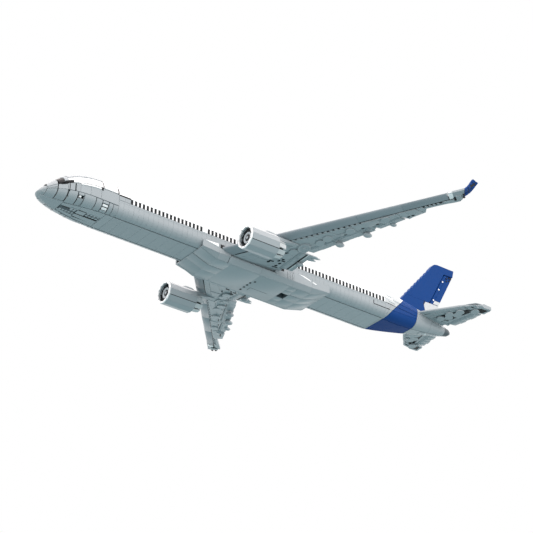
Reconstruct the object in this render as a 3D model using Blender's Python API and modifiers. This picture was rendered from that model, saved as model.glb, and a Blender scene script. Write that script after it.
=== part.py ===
"""Brick-built desktop airliner: inner frame, skins, wings, engines, tail and moving surfaces.

Stations run aft from the nose tip and heights start at the window belt, both in millimetres.
The finished model has +X aft, +Y to starboard and +Z up, with its origin in the middle of the
stand socket's mouth, on the flat underside of the belly fairing.
"""
import math

import bmesh
import bpy
from mathutils import Matrix, Vector

MM = 0.001

# Stock sizes and clearances
PLATE = 3.2            # one plate, and every skin
BRICK = 9.6            # one brick, the depth of the spine
STUD = 8.0             # the building grid
GAP = 0.3              # between pieces that touch
PIN_RADIUS = 1.4       # hinge bars
PIN_REACH = 2.6        # how far a hinge bar stands out of its surface
HINGE_CLEAR = 0.5      # running clearance round a moving surface
END_CLEAR = 1.3        # room at each end of a moving surface, which swings on a swept or raked hinge
HINGE_SLANT = 1.25     # how much longer that clearance is fore and aft, on a swept hinge
LUG_WIDTH = 4.0        # spanwise width of a hinge lug
LUG_WALL = 1.6         # material behind a hinge bar

# Nose, with stations from its tip
RADOME_LENGTH = 34.0
GLAZING_END = 60.0
NOSE_LENGTH = 110.0
NOSE_WIDTH_LENGTH = 95.0   # where the nose reaches its full width
NOSE_CROWN_LENGTH = 85.0   # where it reaches its full height
CHIN_LENGTH = 55.0         # where the chin meets the flat belly
NOSE_TIP_DROP = 16.5       # nose tip below the belt
NOSE_FULLNESS = 2.4        # how soon the nose and the chin fill out
BROW_FULLNESS = 2.2
BROW_EASE = 0.9
NOSE_CORNER_WIDTH = 0.9    # share of the nose tip's section that its lower corners round
NOSE_CORNER_RISE = 0.95
NOSE_BAY_START = 44.0
NOSE_BAY_LENGTH = 54.0
NOSE_BAY_WIDTH = 18.0

# Barrel
HALF_WIDTH = 32.0
BELLY_DEPTH = 26.3     # belly below the belt
CROWN_RISE = 28.8      # crown above the belt
CORNER_RADIUS = 12.0
BARREL_JOINT = 352.0   # where the front and rear skins meet
BARREL_END = 583.0
WINDOW_HEIGHT = 8.0
WINDOW_WIDTH = 3.2
WINDOW_PITCH = 6.4
WINDOW_SETBACK = 20.6  # first window behind the nose
WINDOW_RAIL = 1.2      # strip that ties the white window plates together
DOOR_WINDOW = 19       # the window place that a door takes
SPINE_WIDTH = 16.0
SPINE_TOP = -4.4
SPINE_START = 66.0
SPINE_PAST_BARREL = 57.0
BULKHEADS = {"nose": 80.0, "front": 230.0, "rear": 486.0, "tail": 566.0}

# Tail, with lengths from the barrel's end
TAIL_LENGTH = 156.0
TAIL_END_HALF_WIDTH = 5.0
TAIL_END_CROWN = 9.6
TAIL_END_BELLY = 0.0
TAIL_WIDTH_EASE = 1.1
TAIL_BELLY_EASE = 1.4
TAIL_CROWN_EASE = 2.0
COLLAR_LOW = 4.0       # white collar, at the belly and at the crown
COLLAR_HIGH = 55.0
BAND_LOW = 64.0        # blue band behind it
BAND_HIGH = 25.0
TAIL_TIP_LENGTH = 14.0
TAIL_TIP_SHOULDER = 0.7    # share of the tip's length before it rounds off
TAIL_TIP_ROUND = 2.0

# Wings, with chords from the leading edge
WING_ROOT_STATION = 275.0
WING_SWEEP = 0.81      # aft per outboard
WING_RISE = 0.177      # up per outboard
WING_ROOT_HEIGHT = -22.2
WING_ROOT_DEPTH = 11.0
WING_TIP_DEPTH = 6.0
WING_CREST = 0.35      # share of the panel's chord where it is deepest
WING_TIP = 284.0       # half-span where the raked tip starts
TIP_OVERHANG = 19.0    # raked tip's front corner beyond that
TIP_TAIL_OVERHANG = 3.0
TIP_CHORD = 11.5
TIP_EDGE = 0.45        # thickness of the raked tip's edges, as a share of its crest
STEP_CLEAR = 21.5      # step in the trailing edge beyond the last hinge lug
STEP_RUN = 7.0
ROOT_CHORD = 114.0
BREAK_CHORD = 75.0
MIDDLE_CHORD = 52.6
STEP_CHORD = 34.5
NOTCH_CHORD = 24.0
END_CHORD = 26.3
LEADING_EDGE_CHORD = 20.0
FLAP_ROOT_CLEAR = 1.0  # first hinge lug off the fairing
FLAP_BREAK = 85.0      # half-span where the inboard flap ends
FLAP_END = 174.0
AILERON_END = 214.0
FLAP_CHORD = 13.0
AILERON_CHORD = 10.0
SURFACE_WALL = 1.1     # a moving surface's nose round its hinge bar
SURFACE_TAIL = 1.6     # thickness of a moving surface's trailing edge
CARRY_SETBACK = 21.0   # carry-through behind the leading edge's root
CARRY_LENGTH = 66.0
WINGLET_HEIGHT = 17.0
WINGLET_LEAN = 5.0     # outboard travel of the winglet's tip
WINGLET_RAKE = 11.0    # aft travel of its leading edge
WINGLET_ROOT_SHARE = 0.55  # share of the raked edge that the winglet sits on
WINGLET_KNEE = 0.3     # share of its height where it turns up
WINGLET_CREST = 0.4
WINGLET_TIP_CHORD = 9.0
WINGLET_DEPTH = 3.2

# Belly fairing and stand socket
FAIRING_LEAD = 27.0    # fairing's start ahead of the leading edge's root
FAIRING_LENGTH = 226.0
FAIRING_RAMP_FRONT = 27.0
FAIRING_RAMP_REAR = 34.0
FAIRING_DROP = 10.9    # fairing's underside below the belly
FAIRING_TUCK = 3.5     # fairing's floor inside the skin
FAIRING_BULGE = 4.5    # fairing's sides outside it
FAIRING_TOP_RISE = 10.1  # fairing's upper edge above the belly
FAIRING_EDGE = 0.65    # floor's thickness at its two ends
FAIRING_END_BULGE = 0.35   # share of the bulge left at the two ends
FAIRING_CHINE = 0.3    # share of the side's width that lies flat
FAIRING_HIP = 0.6      # share of the drop where the side turns upright
SOCKET_SETBACK = 164.0 # socket behind the fairing's start
SOCKET_WIDTH = 13.0
SOCKET_DEPTH = 9.0

# Engines
ENGINE_Y = 99.0
ENGINE_LEAD = 57.3     # lip ahead of the wing's leading edge
ENGINE_DROP = 24.5     # axis below the wing
NACELLE_RADIUS = 17.5
NACELLE_LENGTH = 48.4
NACELLE_WALL = 3.0
NACELLE_SIDES = 12
LIP_ROUND = 1.2
WEB_START = 14.0       # inner wall that carries the axle, behind the lip
WEB_THICKNESS = 8.0
AXLE_RADIUS = 2.4
AXLE_LENGTH = 30.0
ROUND_SIDES = 16
FAN_START = 5.0        # front of the fan behind the lip
FAN_THICKNESS = 3.2
FAN_HUB_RADIUS = 7.0
FAN_BLADES = 12
FAN_TIP_CLEAR = 0.7
BLADE_TURNS = (0.0, 0.12, 0.62, 0.7)   # a blade's four corners, in shares of the blade spacing
COWL_RADIUS = 13.0
COWL_LENGTH = 14.0
COWL_WALL = 2.4
EXHAUST_RADIUS = 5.5
EXHAUST_END_RADIUS = 3.85
EXHAUST_LENGTH = 19.0
PYLON_WIDTH = 6.4
PYLON_LEAD = 20.0      # pylon's nose ahead of the nacelle's end
PYLON_RAMP = 8.0       # length of the pylon's rising nose
PYLON_TAIL = 46.0      # pylon's tail behind the nacelle's end
PYLON_RIDGE = 3.6      # pylon's ridge above the nacelle
PYLON_STEP = 5.0       # length of the ridge's fall ahead of the wing
PYLON_WING_CLEAR = 2.0

# Fin and rudder, with stations from the barrel's end
FIN_SETBACK = 51.5
FIN_TOP = 120.0
FIN_TOP_SETBACK = 135.5
FIN_TOP_LENGTH = 35.5
FIN_SHOULDER_RUN = 12.5    # slanted corner at the top of the fin's leading edge
FIN_SHOULDER_DROP = 9.7
FIN_FOOT_SETBACK = 133.0
FIN_THICKNESS = 8.0
FIN_SEAT_STEPS = 6
RUDDER_SETBACK = 120.0
RUDDER_RAKE = 33.0
RUDDER_BOTTOM = 45.0
RUDDER_TOP = 106.0
RUDDER_CHORD_LOW = 15.0
RUDDER_CHORD_HIGH = 14.0
RUDDER_WALL = 1.6      # rudder's nose round its hinge bar

# Stabilisers and elevators, with stations from the barrel's end
STAB_SETBACK = 77.0
STAB_ROOT_CHORD = 74.5
STAB_ROOT_Y = 16.0
STAB_SWEEP = 0.86
STAB_TAIL_SWEEP = 0.25
STAB_TIP = 86.5
STAB_TIP_RAKE = 9.0    # extra sweep of the tip's front corner
STAB_TIP_CUT = 3.0     # how far its rear corner is cut forward
STAB_HEIGHT = 10.6
STAB_RISE = 0.07
STAB_DEPTH = 6.4
STAB_EDGE = 2.0        # thickness of the leading edge
STAB_CREST = 0.25
STAB_LUG_FRONT = 0.6   # share of the chord where a hinge rib starts
ELEVATOR_START = 20.0
ELEVATOR_END = 66.0
ELEVATOR_CHORD = 13.0

SKIN_DEPTH = PLATE + GAP
HALF_BELT = WINDOW_HEIGHT / 2
BELT_LOW_SHARE = (BELLY_DEPTH - HALF_BELT) / (BELLY_DEPTH + CROWN_RISE)
BELT_HIGH_SHARE = (BELLY_DEPTH + HALF_BELT) / (BELLY_DEPTH + CROWN_RISE)
CORNER_SHARE = CORNER_RADIUS / HALF_WIDTH
CORNER_RISE_SHARE = CORNER_RADIUS / (BELLY_DEPTH - HALF_BELT)
FIRST_WINDOW = NOSE_LENGTH + WINDOW_SETBACK
WINDOW_COUNT = 1 + int((BARREL_END - WINDOW_WIDTH - FIRST_WINDOW) / WINDOW_PITCH)
SPINE_BOTTOM = SPINE_TOP - BRICK
SPINE_END = BARREL_END + SPINE_PAST_BARREL
CARRY_START = WING_ROOT_STATION + CARRY_SETBACK
CARRY_END = CARRY_START + CARRY_LENGTH
CARRY_TOP = SPINE_BOTTOM - GAP
CARRY_BOTTOM = -BELLY_DEPTH
FAIRING_START = WING_ROOT_STATION - FAIRING_LEAD
FAIRING_END = FAIRING_START + FAIRING_LENGTH
FAIRING_DEPTH = BELLY_DEPTH + FAIRING_DROP
FAIRING_TOP = FAIRING_TOP_RISE - BELLY_DEPTH
FAIRING_HALF_FLOOR = HALF_WIDTH - FAIRING_TUCK
FAIRING_HALF_WIDTH = HALF_WIDTH + FAIRING_BULGE
SOCKET_STATION = FAIRING_START + SOCKET_SETBACK
SURFACE_NOSE_RADIUS = PIN_RADIUS + SURFACE_WALL
RUDDER_NOSE_RADIUS = PIN_RADIUS + RUDDER_WALL
LUG_SPACE = LUG_WIDTH + 2 * END_CLEAR
FLAP_START = FAIRING_HALF_WIDTH + FLAP_ROOT_CLEAR + LUG_WIDTH + END_CLEAR
AILERON_START = FLAP_END + LUG_SPACE
LUG_END = AILERON_END + END_CLEAR + LUG_WIDTH
STEP_SPAN = LUG_END + STEP_CLEAR
FLAP_JOINT = FLAP_END + LUG_SPACE / 2
CHORDS = ((HALF_WIDTH, ROOT_CHORD), (FLAP_BREAK + LUG_SPACE / 2, BREAK_CHORD), (FLAP_JOINT, MIDDLE_CHORD),
          (STEP_SPAN, STEP_CHORD), (STEP_SPAN + STEP_RUN, NOTCH_CHORD), (WING_TIP, END_CHORD))
TAIL_END = BARREL_END + TAIL_LENGTH
CONE_END = TAIL_END - TAIL_TIP_LENGTH
RUDDER_LOW = (BARREL_END + RUDDER_SETBACK, RUDDER_BOTTOM)
RUDDER_HIGH = (BARREL_END + RUDDER_SETBACK + RUDDER_RAKE, RUDDER_TOP)

GREY = (0.35, 0.376, 0.397)
PALE = (0.86, 0.87, 0.87)
BLUE = (0.02, 0.065, 0.24)
BLACK = (0.012, 0.013, 0.015)
SLATE = (0.13, 0.16, 0.18)

FACING_AFT = (math.pi / 2, 0, math.pi / 2)    # a flat outline given as (y, z)
FACING_SIDE = (math.pi / 2, 0, 0)             # a flat outline given as (x, z)
SIDES = {"port": -1, "starboard": 1}

for leftover in list(bpy.data.objects):
    bpy.data.objects.remove(leftover)


def new_collection(name):
    collection = bpy.data.collections.new(name)
    bpy.context.scene.collection.children.link(collection)
    return collection


PARTS = new_collection("desktop_airliner")
CUTTERS = new_collection("cutters")


def place(x, y, z):
    """World position, in metres, of a station, a side distance and a height above the belt."""
    return Vector(((x - SOCKET_STATION) * MM, y * MM, (z + FAIRING_DEPTH) * MM))


def blend(a, b, share):
    return a + (b - a) * share


def along(points, at):
    """Value at one place of a chain of straight runs given as (place, value)."""
    for (a, value_a), (b, value_b) in zip(points, points[1:]):
        if at <= b:
            break
    return blend(value_a, value_b, (at - a) / (b - a))


def finish(obj, colour, roughness=0.3):
    """Give a part its own material and put it with the parts."""
    material = bpy.data.materials.new(obj.name)
    material.use_nodes = True
    shader = material.node_tree.nodes["Principled BSDF"]
    shader.inputs["Base Color"].default_value = (*colour, 1)
    shader.inputs["Roughness"].default_value = roughness
    shader.inputs["Metallic"].default_value = 0
    obj.data.materials.clear()
    obj.data.materials.append(material)
    PARTS.objects.link(obj)
    return obj


def as_cutter(obj):
    """Keep an object only as the tool of a boolean."""
    CUTTERS.objects.link(obj)
    obj.hide_render = True
    obj.display_type = "WIRE"
    return obj


def boolean(obj, tool, operation):
    modifier = obj.modifiers.new(operation.title(), "BOOLEAN")
    modifier.operation = operation
    modifier.object = tool


def mesh_object(name, builder, origin=Vector()):
    """An object from a mesh that was built in world space, with its origin moved to a point."""
    bmesh.ops.recalc_face_normals(builder, faces=builder.faces)
    bmesh.ops.translate(builder, verts=builder.verts, vec=-origin)
    mesh = bpy.data.meshes.new(name)
    builder.to_mesh(mesh)
    builder.free()
    obj = bpy.data.objects.new(name, mesh)
    obj.location = origin
    return obj


def loft(name, rings, origin=Vector()):
    """A solid through rings of equal count, closed at both ends. Points are (x, y, z)."""
    builder = bmesh.new()
    rows = [[builder.verts.new(place(*point)) for point in ring] for ring in rings]
    count = len(rings[0])
    for row, following in zip(rows, rows[1:]):
        for i in range(count):
            j = (i + 1) % count
            builder.faces.new((row[i], row[j], following[j], following[i]))
    builder.faces.new(rows[0])
    builder.faces.new(rows[-1])
    return mesh_object(name, builder, origin)


def block(name, low, high):
    """A box between two corners."""
    builder = bmesh.new()
    bmesh.ops.create_cube(builder, size=1)
    low = place(*low)
    high = place(*high)
    bmesh.ops.scale(builder, verts=builder.verts, vec=high - low)
    bmesh.ops.translate(builder, verts=builder.verts, vec=(low + high) / 2)
    return mesh_object(name, builder)


def rod(name, start, end, radius, sides=12):
    """A cylinder between two points."""
    start = place(*start)
    end = place(*end)
    builder = bmesh.new()
    bmesh.ops.create_cone(builder, cap_ends=True, segments=sides, radius1=radius * MM,
                          radius2=radius * MM, depth=(end - start).length)
    turn = (end - start).to_track_quat("Z", "Y").to_matrix().to_4x4()
    bmesh.ops.transform(builder, matrix=Matrix.Translation((start + end) / 2) @ turn,
                        verts=builder.verts)
    return mesh_object(name, builder, (start + end) / 2)


def flat(name, outline, thickness, centre, turn, holes=()):
    """A flat piece: a filled outline with a thickness."""
    curve = bpy.data.curves.new(name, "CURVE")
    curve.dimensions = "2D"
    curve.fill_mode = "BOTH"
    curve.extrude = thickness * MM / 2
    for loop in (outline, *holes):
        spline = curve.splines.new("POLY")
        spline.points.add(len(loop) - 1)
        for point, (a, b) in zip(spline.points, loop):
            point.co = (a * MM, b * MM, 0, 1)
        spline.use_cyclic_u = True
    obj = bpy.data.objects.new(name, curve)
    obj.location = centre
    obj.rotation_euler = turn
    return obj


def slab(name, outline, near, far):
    """A flat piece that stands fore and aft: an (x, z) outline drawn out between two side distances."""
    builder = bmesh.new()
    face = builder.faces.new([builder.verts.new(place(x, near, z)) for x, z in outline])
    drawn = bmesh.ops.extrude_face_region(builder, geom=[face])["geom"]
    moved = [item for item in drawn if isinstance(item, bmesh.types.BMVert)]
    bmesh.ops.translate(builder, verts=moved, vec=(0, (far - near) * MM, 0))
    return mesh_object(name, builder)


def as_mesh(curve_object):
    """The same flat piece as a welded mesh, ready to be cut."""
    PARTS.objects.link(curve_object)
    graph = bpy.context.evaluated_depsgraph_get()
    graph.update()
    mesh = bpy.data.meshes.new_from_object(curve_object.evaluated_get(graph))
    builder = bmesh.new()
    builder.from_mesh(mesh)
    bmesh.ops.remove_doubles(builder, verts=builder.verts, dist=0.00001)
    builder.to_mesh(mesh)
    builder.free()
    name = curve_object.name
    frame = curve_object.matrix_world.copy()
    bpy.data.objects.remove(curve_object)
    obj = bpy.data.objects.new(name, mesh)
    obj.matrix_world = frame
    return obj


def turned(name, profile, sides, centre):
    """A body turned about the fore-and-aft axis through a point. Profile points are (aft, radius)."""
    mesh = bpy.data.meshes.new(name)
    count = len(profile)
    on_axis = profile[0][1] == 0
    edges = [(i, i + 1) for i in range(count - 1)]
    if not on_axis:
        edges.append((count - 1, 0))
    mesh.from_pydata([(radius * MM, 0, aft * MM) for aft, radius in profile], edges, [])
    obj = bpy.data.objects.new(name, mesh)
    facet = math.pi / sides
    obj.matrix_world = (Matrix.Translation(centre) @ Matrix.Rotation(math.pi / 2, 4, "Y")
                        @ Matrix.Rotation(facet, 4, "Z"))
    screw = obj.modifiers.new("Screw", "SCREW")
    screw.axis = "Z"
    screw.steps = sides
    screw.render_steps = sides
    screw.use_merge_vertices = True
    screw.merge_threshold = 0.00001
    return obj


# Fuselage skin: one section rule for the nose, the barrel and the tail

def section(x):
    """Half-width, belly, crown and how round the lower corner is, at a station."""
    if x < NOSE_LENGTH:
        widening = 1 - max(0, 1 - x / NOSE_WIDTH_LENGTH) ** NOSE_FULLNESS
        chin = 1 - max(0, 1 - x / CHIN_LENGTH) ** NOSE_FULLNESS
        brow = 1 - max(0, 1 - x / NOSE_CROWN_LENGTH) ** BROW_FULLNESS
        width = HALF_WIDTH * math.sqrt(widening)
        belly = blend(-NOSE_TIP_DROP, -BELLY_DEPTH, math.sqrt(chin))
        crown = blend(-NOSE_TIP_DROP, CROWN_RISE, brow ** BROW_EASE)
        return width, belly, crown, (1 - x / NOSE_LENGTH) ** 2
    share = max(0, (x - BARREL_END) / TAIL_LENGTH)
    width = blend(HALF_WIDTH, TAIL_END_HALF_WIDTH, share ** TAIL_WIDTH_EASE)
    belly = blend(-BELLY_DEPTH, TAIL_END_BELLY, share ** TAIL_BELLY_EASE)
    crown = blend(CROWN_RISE, TAIL_END_CROWN, share ** TAIL_CROWN_EASE)
    return width, belly, crown, share


def skin_point(x, t):
    """Outer skin (y, z): t is 0 belly, 1 belly edge, 2 side, 3 to 4 belt, 5 crown, 10 belly."""
    t = t % 10
    hand = 1 if t <= 5 else -1
    t = t if t <= 5 else 10 - t
    width, belly, crown, roundness = section(x)
    low = blend(belly, crown, BELT_LOW_SHARE)
    high = blend(belly, crown, BELT_HIGH_SHARE)
    corner = width * blend(CORNER_SHARE, NOSE_CORNER_WIDTH, roundness)
    corner_rise = (low - belly) * blend(CORNER_RISE_SHARE, NOSE_CORNER_RISE, roundness)
    if t <= 1:
        return hand * t * (width - corner), belly
    if t <= 2:
        angle = (t - 1) * math.pi / 2
        return hand * (width - corner * (1 - math.sin(angle))), belly + corner_rise * (1 - math.cos(angle))
    if t <= 3:
        return hand * width, blend(belly + corner_rise, low, t - 2)
    if t <= 4:
        return hand * width, blend(low, high, t - 3)
    angle = (t - 4) * math.pi / 2
    return hand * width * math.cos(angle), blend(high, crown, math.sin(angle))


def inside_point(x, t, depth):
    """The skin's point moved inwards, square to the skin, within its own section."""
    y, z = skin_point(x, t)
    step = 0.002
    ahead = Vector(skin_point(x, t + step))
    behind = Vector(skin_point(x, t - step))
    run = (ahead - behind).normalized()
    return y - run.y * depth, z + run.x * depth


def skin_steps(start, end):
    """Places along t: few on the flat runs and more on the round ones."""
    counts = {0: 1, 1: 5, 2: 1, 3: 1, 4: 7}
    places = []
    for whole in range(math.floor(start), math.ceil(end)):
        belt = whole % 10
        count = counts[belt if belt < 5 else 9 - belt]
        places += [whole + i / count for i in range(count)]
    inner = [t for t in places if start + 0.02 < t < end - 0.02]
    return [start, *inner, end]


def edge_inset(t, x=BARREL_JOINT):
    """How much of t half a gap takes at a skin edge."""
    a = Vector(skin_point(x, t - 0.01))
    b = Vector(skin_point(x, t + 0.01))
    return 0.02 * GAP / 2 / (b - a).length


def skin_panel(name, front, rear, start, end, rows=1, depth=PLATE):
    """A panel of the skin between two stations, or two slanted edges, and two places of t."""
    ring = end - start == 10
    if not ring:
        start += edge_inset(start)
        end -= edge_inset(end)
    steps = skin_steps(start, end)
    if ring:
        steps = steps[:-1]
    builder = bmesh.new()
    shells = []
    for inset in (0, depth):
        grid = []
        for row in range(rows + 1):
            line = []
            for t in steps:
                fore = front(t) if callable(front) else front
                aft = rear(t) if callable(rear) else rear
                x = blend(fore + GAP / 2, aft - GAP / 2, row / rows)
                y, z = inside_point(x, t, inset)
                line.append(builder.verts.new(place(x, y, z)))
            grid.append(line)
        shells.append(grid)
    count = len(steps)
    spans = count if ring else count - 1
    outer, inner = shells
    for row in range(rows):
        for grid in shells:
            for i in range(spans):
                j = (i + 1) % count
                builder.faces.new((grid[row][i], grid[row][j], grid[row + 1][j], grid[row + 1][i]))
        if not ring:
            for i in (0, count - 1):
                builder.faces.new((outer[row][i], outer[row + 1][i], inner[row + 1][i], inner[row][i]))
    for row in (0, rows):
        for i in range(spans):
            j = (i + 1) % count
            builder.faces.new((outer[row][i], outer[row][j], inner[row][j], inner[row][i]))
    return mesh_object(name, builder)


def slanted(low, high):
    """A slanted edge: its station at a place t, from the belly to the crown."""
    def station(t):
        _, z = skin_point(low, t)
        share = (z + BELLY_DEPTH) / (BELLY_DEPTH + CROWN_RISE)
        return blend(low, high, min(1, max(0, share)))
    return station


def skin_ring(x, shrink=0):
    """A closed ring of the outer skin, for a solid end piece."""
    steps = skin_steps(0, 10)[:-1]
    return [(x, *inside_point(x, t, shrink)) for t in steps]


# Inner frame

def spine():
    half = SPINE_WIDTH / 2
    finish(block("spine_beam", (SPINE_START, -half, SPINE_BOTTOM), (SPINE_END, half, SPINE_TOP)), SLATE)


def bulkhead(name, x):
    """A frame inside the skins, notched to sit astride the spine."""
    half = SPINE_WIDTH / 2 + GAP
    tight = min((x, x + STUD), key=lambda station: section(station)[0])
    floor = inside_point(tight, 1, SKIN_DEPTH)[1]
    outline = [inside_point(tight, t, SKIN_DEPTH) for t in skin_steps(1, 9)]
    outline += [(-half, floor), (-half, SPINE_TOP + GAP), (half, SPINE_TOP + GAP), (half, floor)]
    centre = place(x + STUD / 2, 0, 0)
    finish(flat("bulkhead_" + name, outline, STUD, centre, FACING_AFT), SLATE)


def carry_through():
    """The beam across the fuselage that ties both wings together."""
    low = (CARRY_START, -HALF_WIDTH, CARRY_BOTTOM)
    high = (CARRY_END, HALF_WIDTH, CARRY_TOP)
    finish(block("wing_carry_through", low, high), SLATE)


# Nose

def nose():
    stations = [RADOME_LENGTH * share for share in (0.015, 0.08, 0.2, 0.4, 0.65)]
    stations.append(RADOME_LENGTH - GAP / 2)
    finish(loft("radome", [skin_ring(x) for x in stations]), GREY)
    chin = skin_panel("chin_panel", RADOME_LENGTH, NOSE_LENGTH, -1, 1, rows=6)
    half = NOSE_BAY_WIDTH / 2
    bay_end = NOSE_BAY_START + NOSE_BAY_LENGTH
    opening = block("nose_bay_opening", (NOSE_BAY_START, -half, -BELLY_DEPTH - PLATE),
                    (bay_end, half, -BELLY_DEPTH + 2 * PLATE))
    boolean(finish(chin, GREY), as_cutter(opening), "DIFFERENCE")
    low = (NOSE_BAY_START + GAP, GAP - half, -BELLY_DEPTH)
    high = (bay_end - GAP, half - GAP, PLATE - BELLY_DEPTH)
    finish(block("nose_bay_cover", low, high), GREY)
    finish(skin_panel("nose_side_starboard", RADOME_LENGTH, NOSE_LENGTH, 1, 4, rows=7), GREY)
    finish(skin_panel("nose_side_port", RADOME_LENGTH, NOSE_LENGTH, 6, 9, rows=7), GREY)
    finish(skin_panel("cockpit_glazing", RADOME_LENGTH, GLAZING_END, 4, 6, rows=3), BLACK, 0.1)
    finish(skin_panel("cockpit_roof", GLAZING_END, NOSE_LENGTH, 4, 6, rows=4), PALE)


# Barrel

def window_band(side, hand):
    """White window plates on edge, tied by a rail, with a dark glazing strip behind them."""
    low = GAP / 2 - HALF_BELT
    high = HALF_BELT - GAP / 2
    start = NOSE_LENGTH + GAP / 2
    end = BARREL_END - GAP / 2
    outline = [(start, low), (start, high), (end, high), (end, low)]
    for index in reversed(range(WINDOW_COUNT)):
        if index == DOOR_WINDOW:
            continue
        middle = FIRST_WINDOW + index * WINDOW_PITCH
        front = middle - WINDOW_WIDTH / 2
        rear = middle + WINDOW_WIDTH / 2
        outline += [(rear, low), (rear, high - WINDOW_RAIL), (front, high - WINDOW_RAIL), (front, low)]
    thickness = PLATE / 2
    band = slab("window_band_" + side, outline, hand * HALF_WIDTH, hand * (HALF_WIDTH - thickness))
    finish(band, PALE)
    outside = HALF_WIDTH - thickness - GAP
    inside = HALF_WIDTH - PLATE
    faces = sorted((hand * inside, hand * outside))
    glazing = block("window_glazing_" + side, (start, faces[0], low), (end, faces[1], high))
    finish(glazing, BLACK, 0.1)


def barrel():
    finish(skin_panel("roof_front", NOSE_LENGTH, BARREL_JOINT, 4, 6), PALE)
    finish(skin_panel("roof_rear", BARREL_JOINT, BARREL_END, 4, 6), PALE)
    finish(skin_panel("belly_panel_front", NOSE_LENGTH, CARRY_START - GAP, -1, 1), GREY)
    finish(skin_panel("belly_panel_rear", CARRY_END + GAP, BARREL_END, -1, 1), GREY)
    notch = block("wing_root_notch", (CARRY_START - GAP, -2 * HALF_WIDTH, CARRY_BOTTOM - PLATE),
                  (CARRY_END + GAP, 2 * HALF_WIDTH, CARRY_TOP + GAP))
    as_cutter(notch)
    for side, hand in SIDES.items():
        window_band(side, hand)
        start, end = (1, 3) if hand > 0 else (7, 9)
        for part, fore, aft in (("front", NOSE_LENGTH, BARREL_JOINT), ("rear", BARREL_JOINT, BARREL_END)):
            panel = skin_panel("side_panel_" + part + "_" + side, fore, aft, start, end)
            boolean(finish(panel, GREY), notch, "DIFFERENCE")


# Belly fairing

def fairing_stations():
    """Stations of the fairing and how deep it hangs at each, from 0 to 1."""
    sliver = FAIRING_EDGE / FAIRING_DROP
    return ((FAIRING_START, sliver), (FAIRING_START + FAIRING_RAMP_FRONT, 1),
            (FAIRING_END - FAIRING_RAMP_REAR, 1), (FAIRING_END, sliver))


def fairing():
    ceiling = -BELLY_DEPTH - GAP
    rings = []
    for x, depth in fairing_stations():
        floor = blend(ceiling, -FAIRING_DEPTH, depth)
        half = FAIRING_HALF_FLOOR
        rings.append([(x, -half, ceiling), (x, -half, floor), (x, half, floor), (x, half, ceiling)])
    floor = finish(loft("fairing_floor", rings), GREY)
    half = SOCKET_WIDTH / 2
    socket = block("socket_cut", (SOCKET_STATION - half, -half, -FAIRING_DEPTH - PLATE),
                   (SOCKET_STATION + half, half, SOCKET_DEPTH - FAIRING_DEPTH))
    boolean(floor, as_cutter(socket), "DIFFERENCE")
    for side, hand in SIDES.items():
        rings = []
        inner = HALF_WIDTH + GAP
        keel = FAIRING_HALF_FLOOR + GAP
        for x, depth in fairing_stations():
            bottom = blend(ceiling, -FAIRING_DEPTH, depth)
            outer = blend(inner, FAIRING_HALF_WIDTH, blend(FAIRING_END_BULGE, 1, depth))
            hip = blend(bottom, ceiling, FAIRING_HIP)
            chine = blend(keel, outer, FAIRING_CHINE)
            ring = [(keel, ceiling), (keel, bottom), (chine, bottom), (outer, hip),
                    (outer, FAIRING_TOP), (inner, FAIRING_TOP), (inner, ceiling)]
            rings.append([(x, hand * y, z) for y, z in ring])
        wall = finish(loft("fairing_side_" + side, rings), GREY)
        reach = (HALF_WIDTH - PLATE, FAIRING_HALF_WIDTH + STUD)
        slot = loft("wing_slot_" + side, [wing_ring(y, hand, GAP) for y in reach])
        boolean(wall, as_cutter(slot), "DIFFERENCE")


# Wings

def wing_front(y):
    return WING_ROOT_STATION + (y - HALF_WIDTH) * WING_SWEEP


def wing_height(y):
    return WING_ROOT_HEIGHT + (y - HALF_WIDTH) * WING_RISE


def wing_depth(y):
    return blend(WING_ROOT_DEPTH, WING_TIP_DEPTH, (y - HALF_WIDTH) / (WING_TIP - HALF_WIDTH))


def wing_tail(y):
    return wing_front(y) + along(CHORDS, y)


def hinge_point(chord, y, hand):
    return Vector((wing_tail(y) - chord, hand * y, wing_height(y)))


def wing_rear(y):
    """Rear edge of the fixed wing: it leaves room for the round noses of the moving surfaces."""
    room = (SURFACE_NOSE_RADIUS + HINGE_CLEAR) * HINGE_SLANT
    jog = HINGE_CLEAR * 2
    cut = along(((0, FLAP_CHORD + room), (FLAP_JOINT - jog, FLAP_CHORD + room),
                 (FLAP_JOINT + jog, AILERON_CHORD + room), (LUG_END - LUG_WIDTH + jog, AILERON_CHORD + room),
                 (LUG_END, 0), (WING_TIP * 2, 0)), y)
    return wing_tail(y) - cut


def panel_front(y):
    return wing_front(y) + LEADING_EDGE_CHORD + GAP


def wing_ring(y, hand, swell=0):
    """Section of the wing's main panel, optionally swollen for a cut."""
    front = panel_front(y) - swell
    rear = wing_rear(y) + swell
    crest = blend(front, rear, WING_CREST)
    z = wing_height(y)
    half = wing_depth(y) / 2 + swell
    thin = SURFACE_NOSE_RADIUS + swell
    ring = [(front, z - half), (crest, z - half), (rear, z - thin),
            (rear, z + thin), (crest, z + half), (front, z + half)]
    return [(x, hand * y, height) for x, height in ring]


def leading_edge(side, hand):
    rings = []
    for y in (FAIRING_HALF_WIDTH + GAP, WING_TIP):
        ring = []
        for step in range(9):
            angle = math.pi * (step / 8 - 0.5)
            x = wing_front(y) + LEADING_EDGE_CHORD * (1 - math.cos(angle))
            ring.append((x, hand * y, wing_height(y) + wing_depth(y) / 2 * math.sin(angle)))
        rings.append(ring)
    finish(loft("wing_leading_edge_" + side, rings), SLATE)


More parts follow.
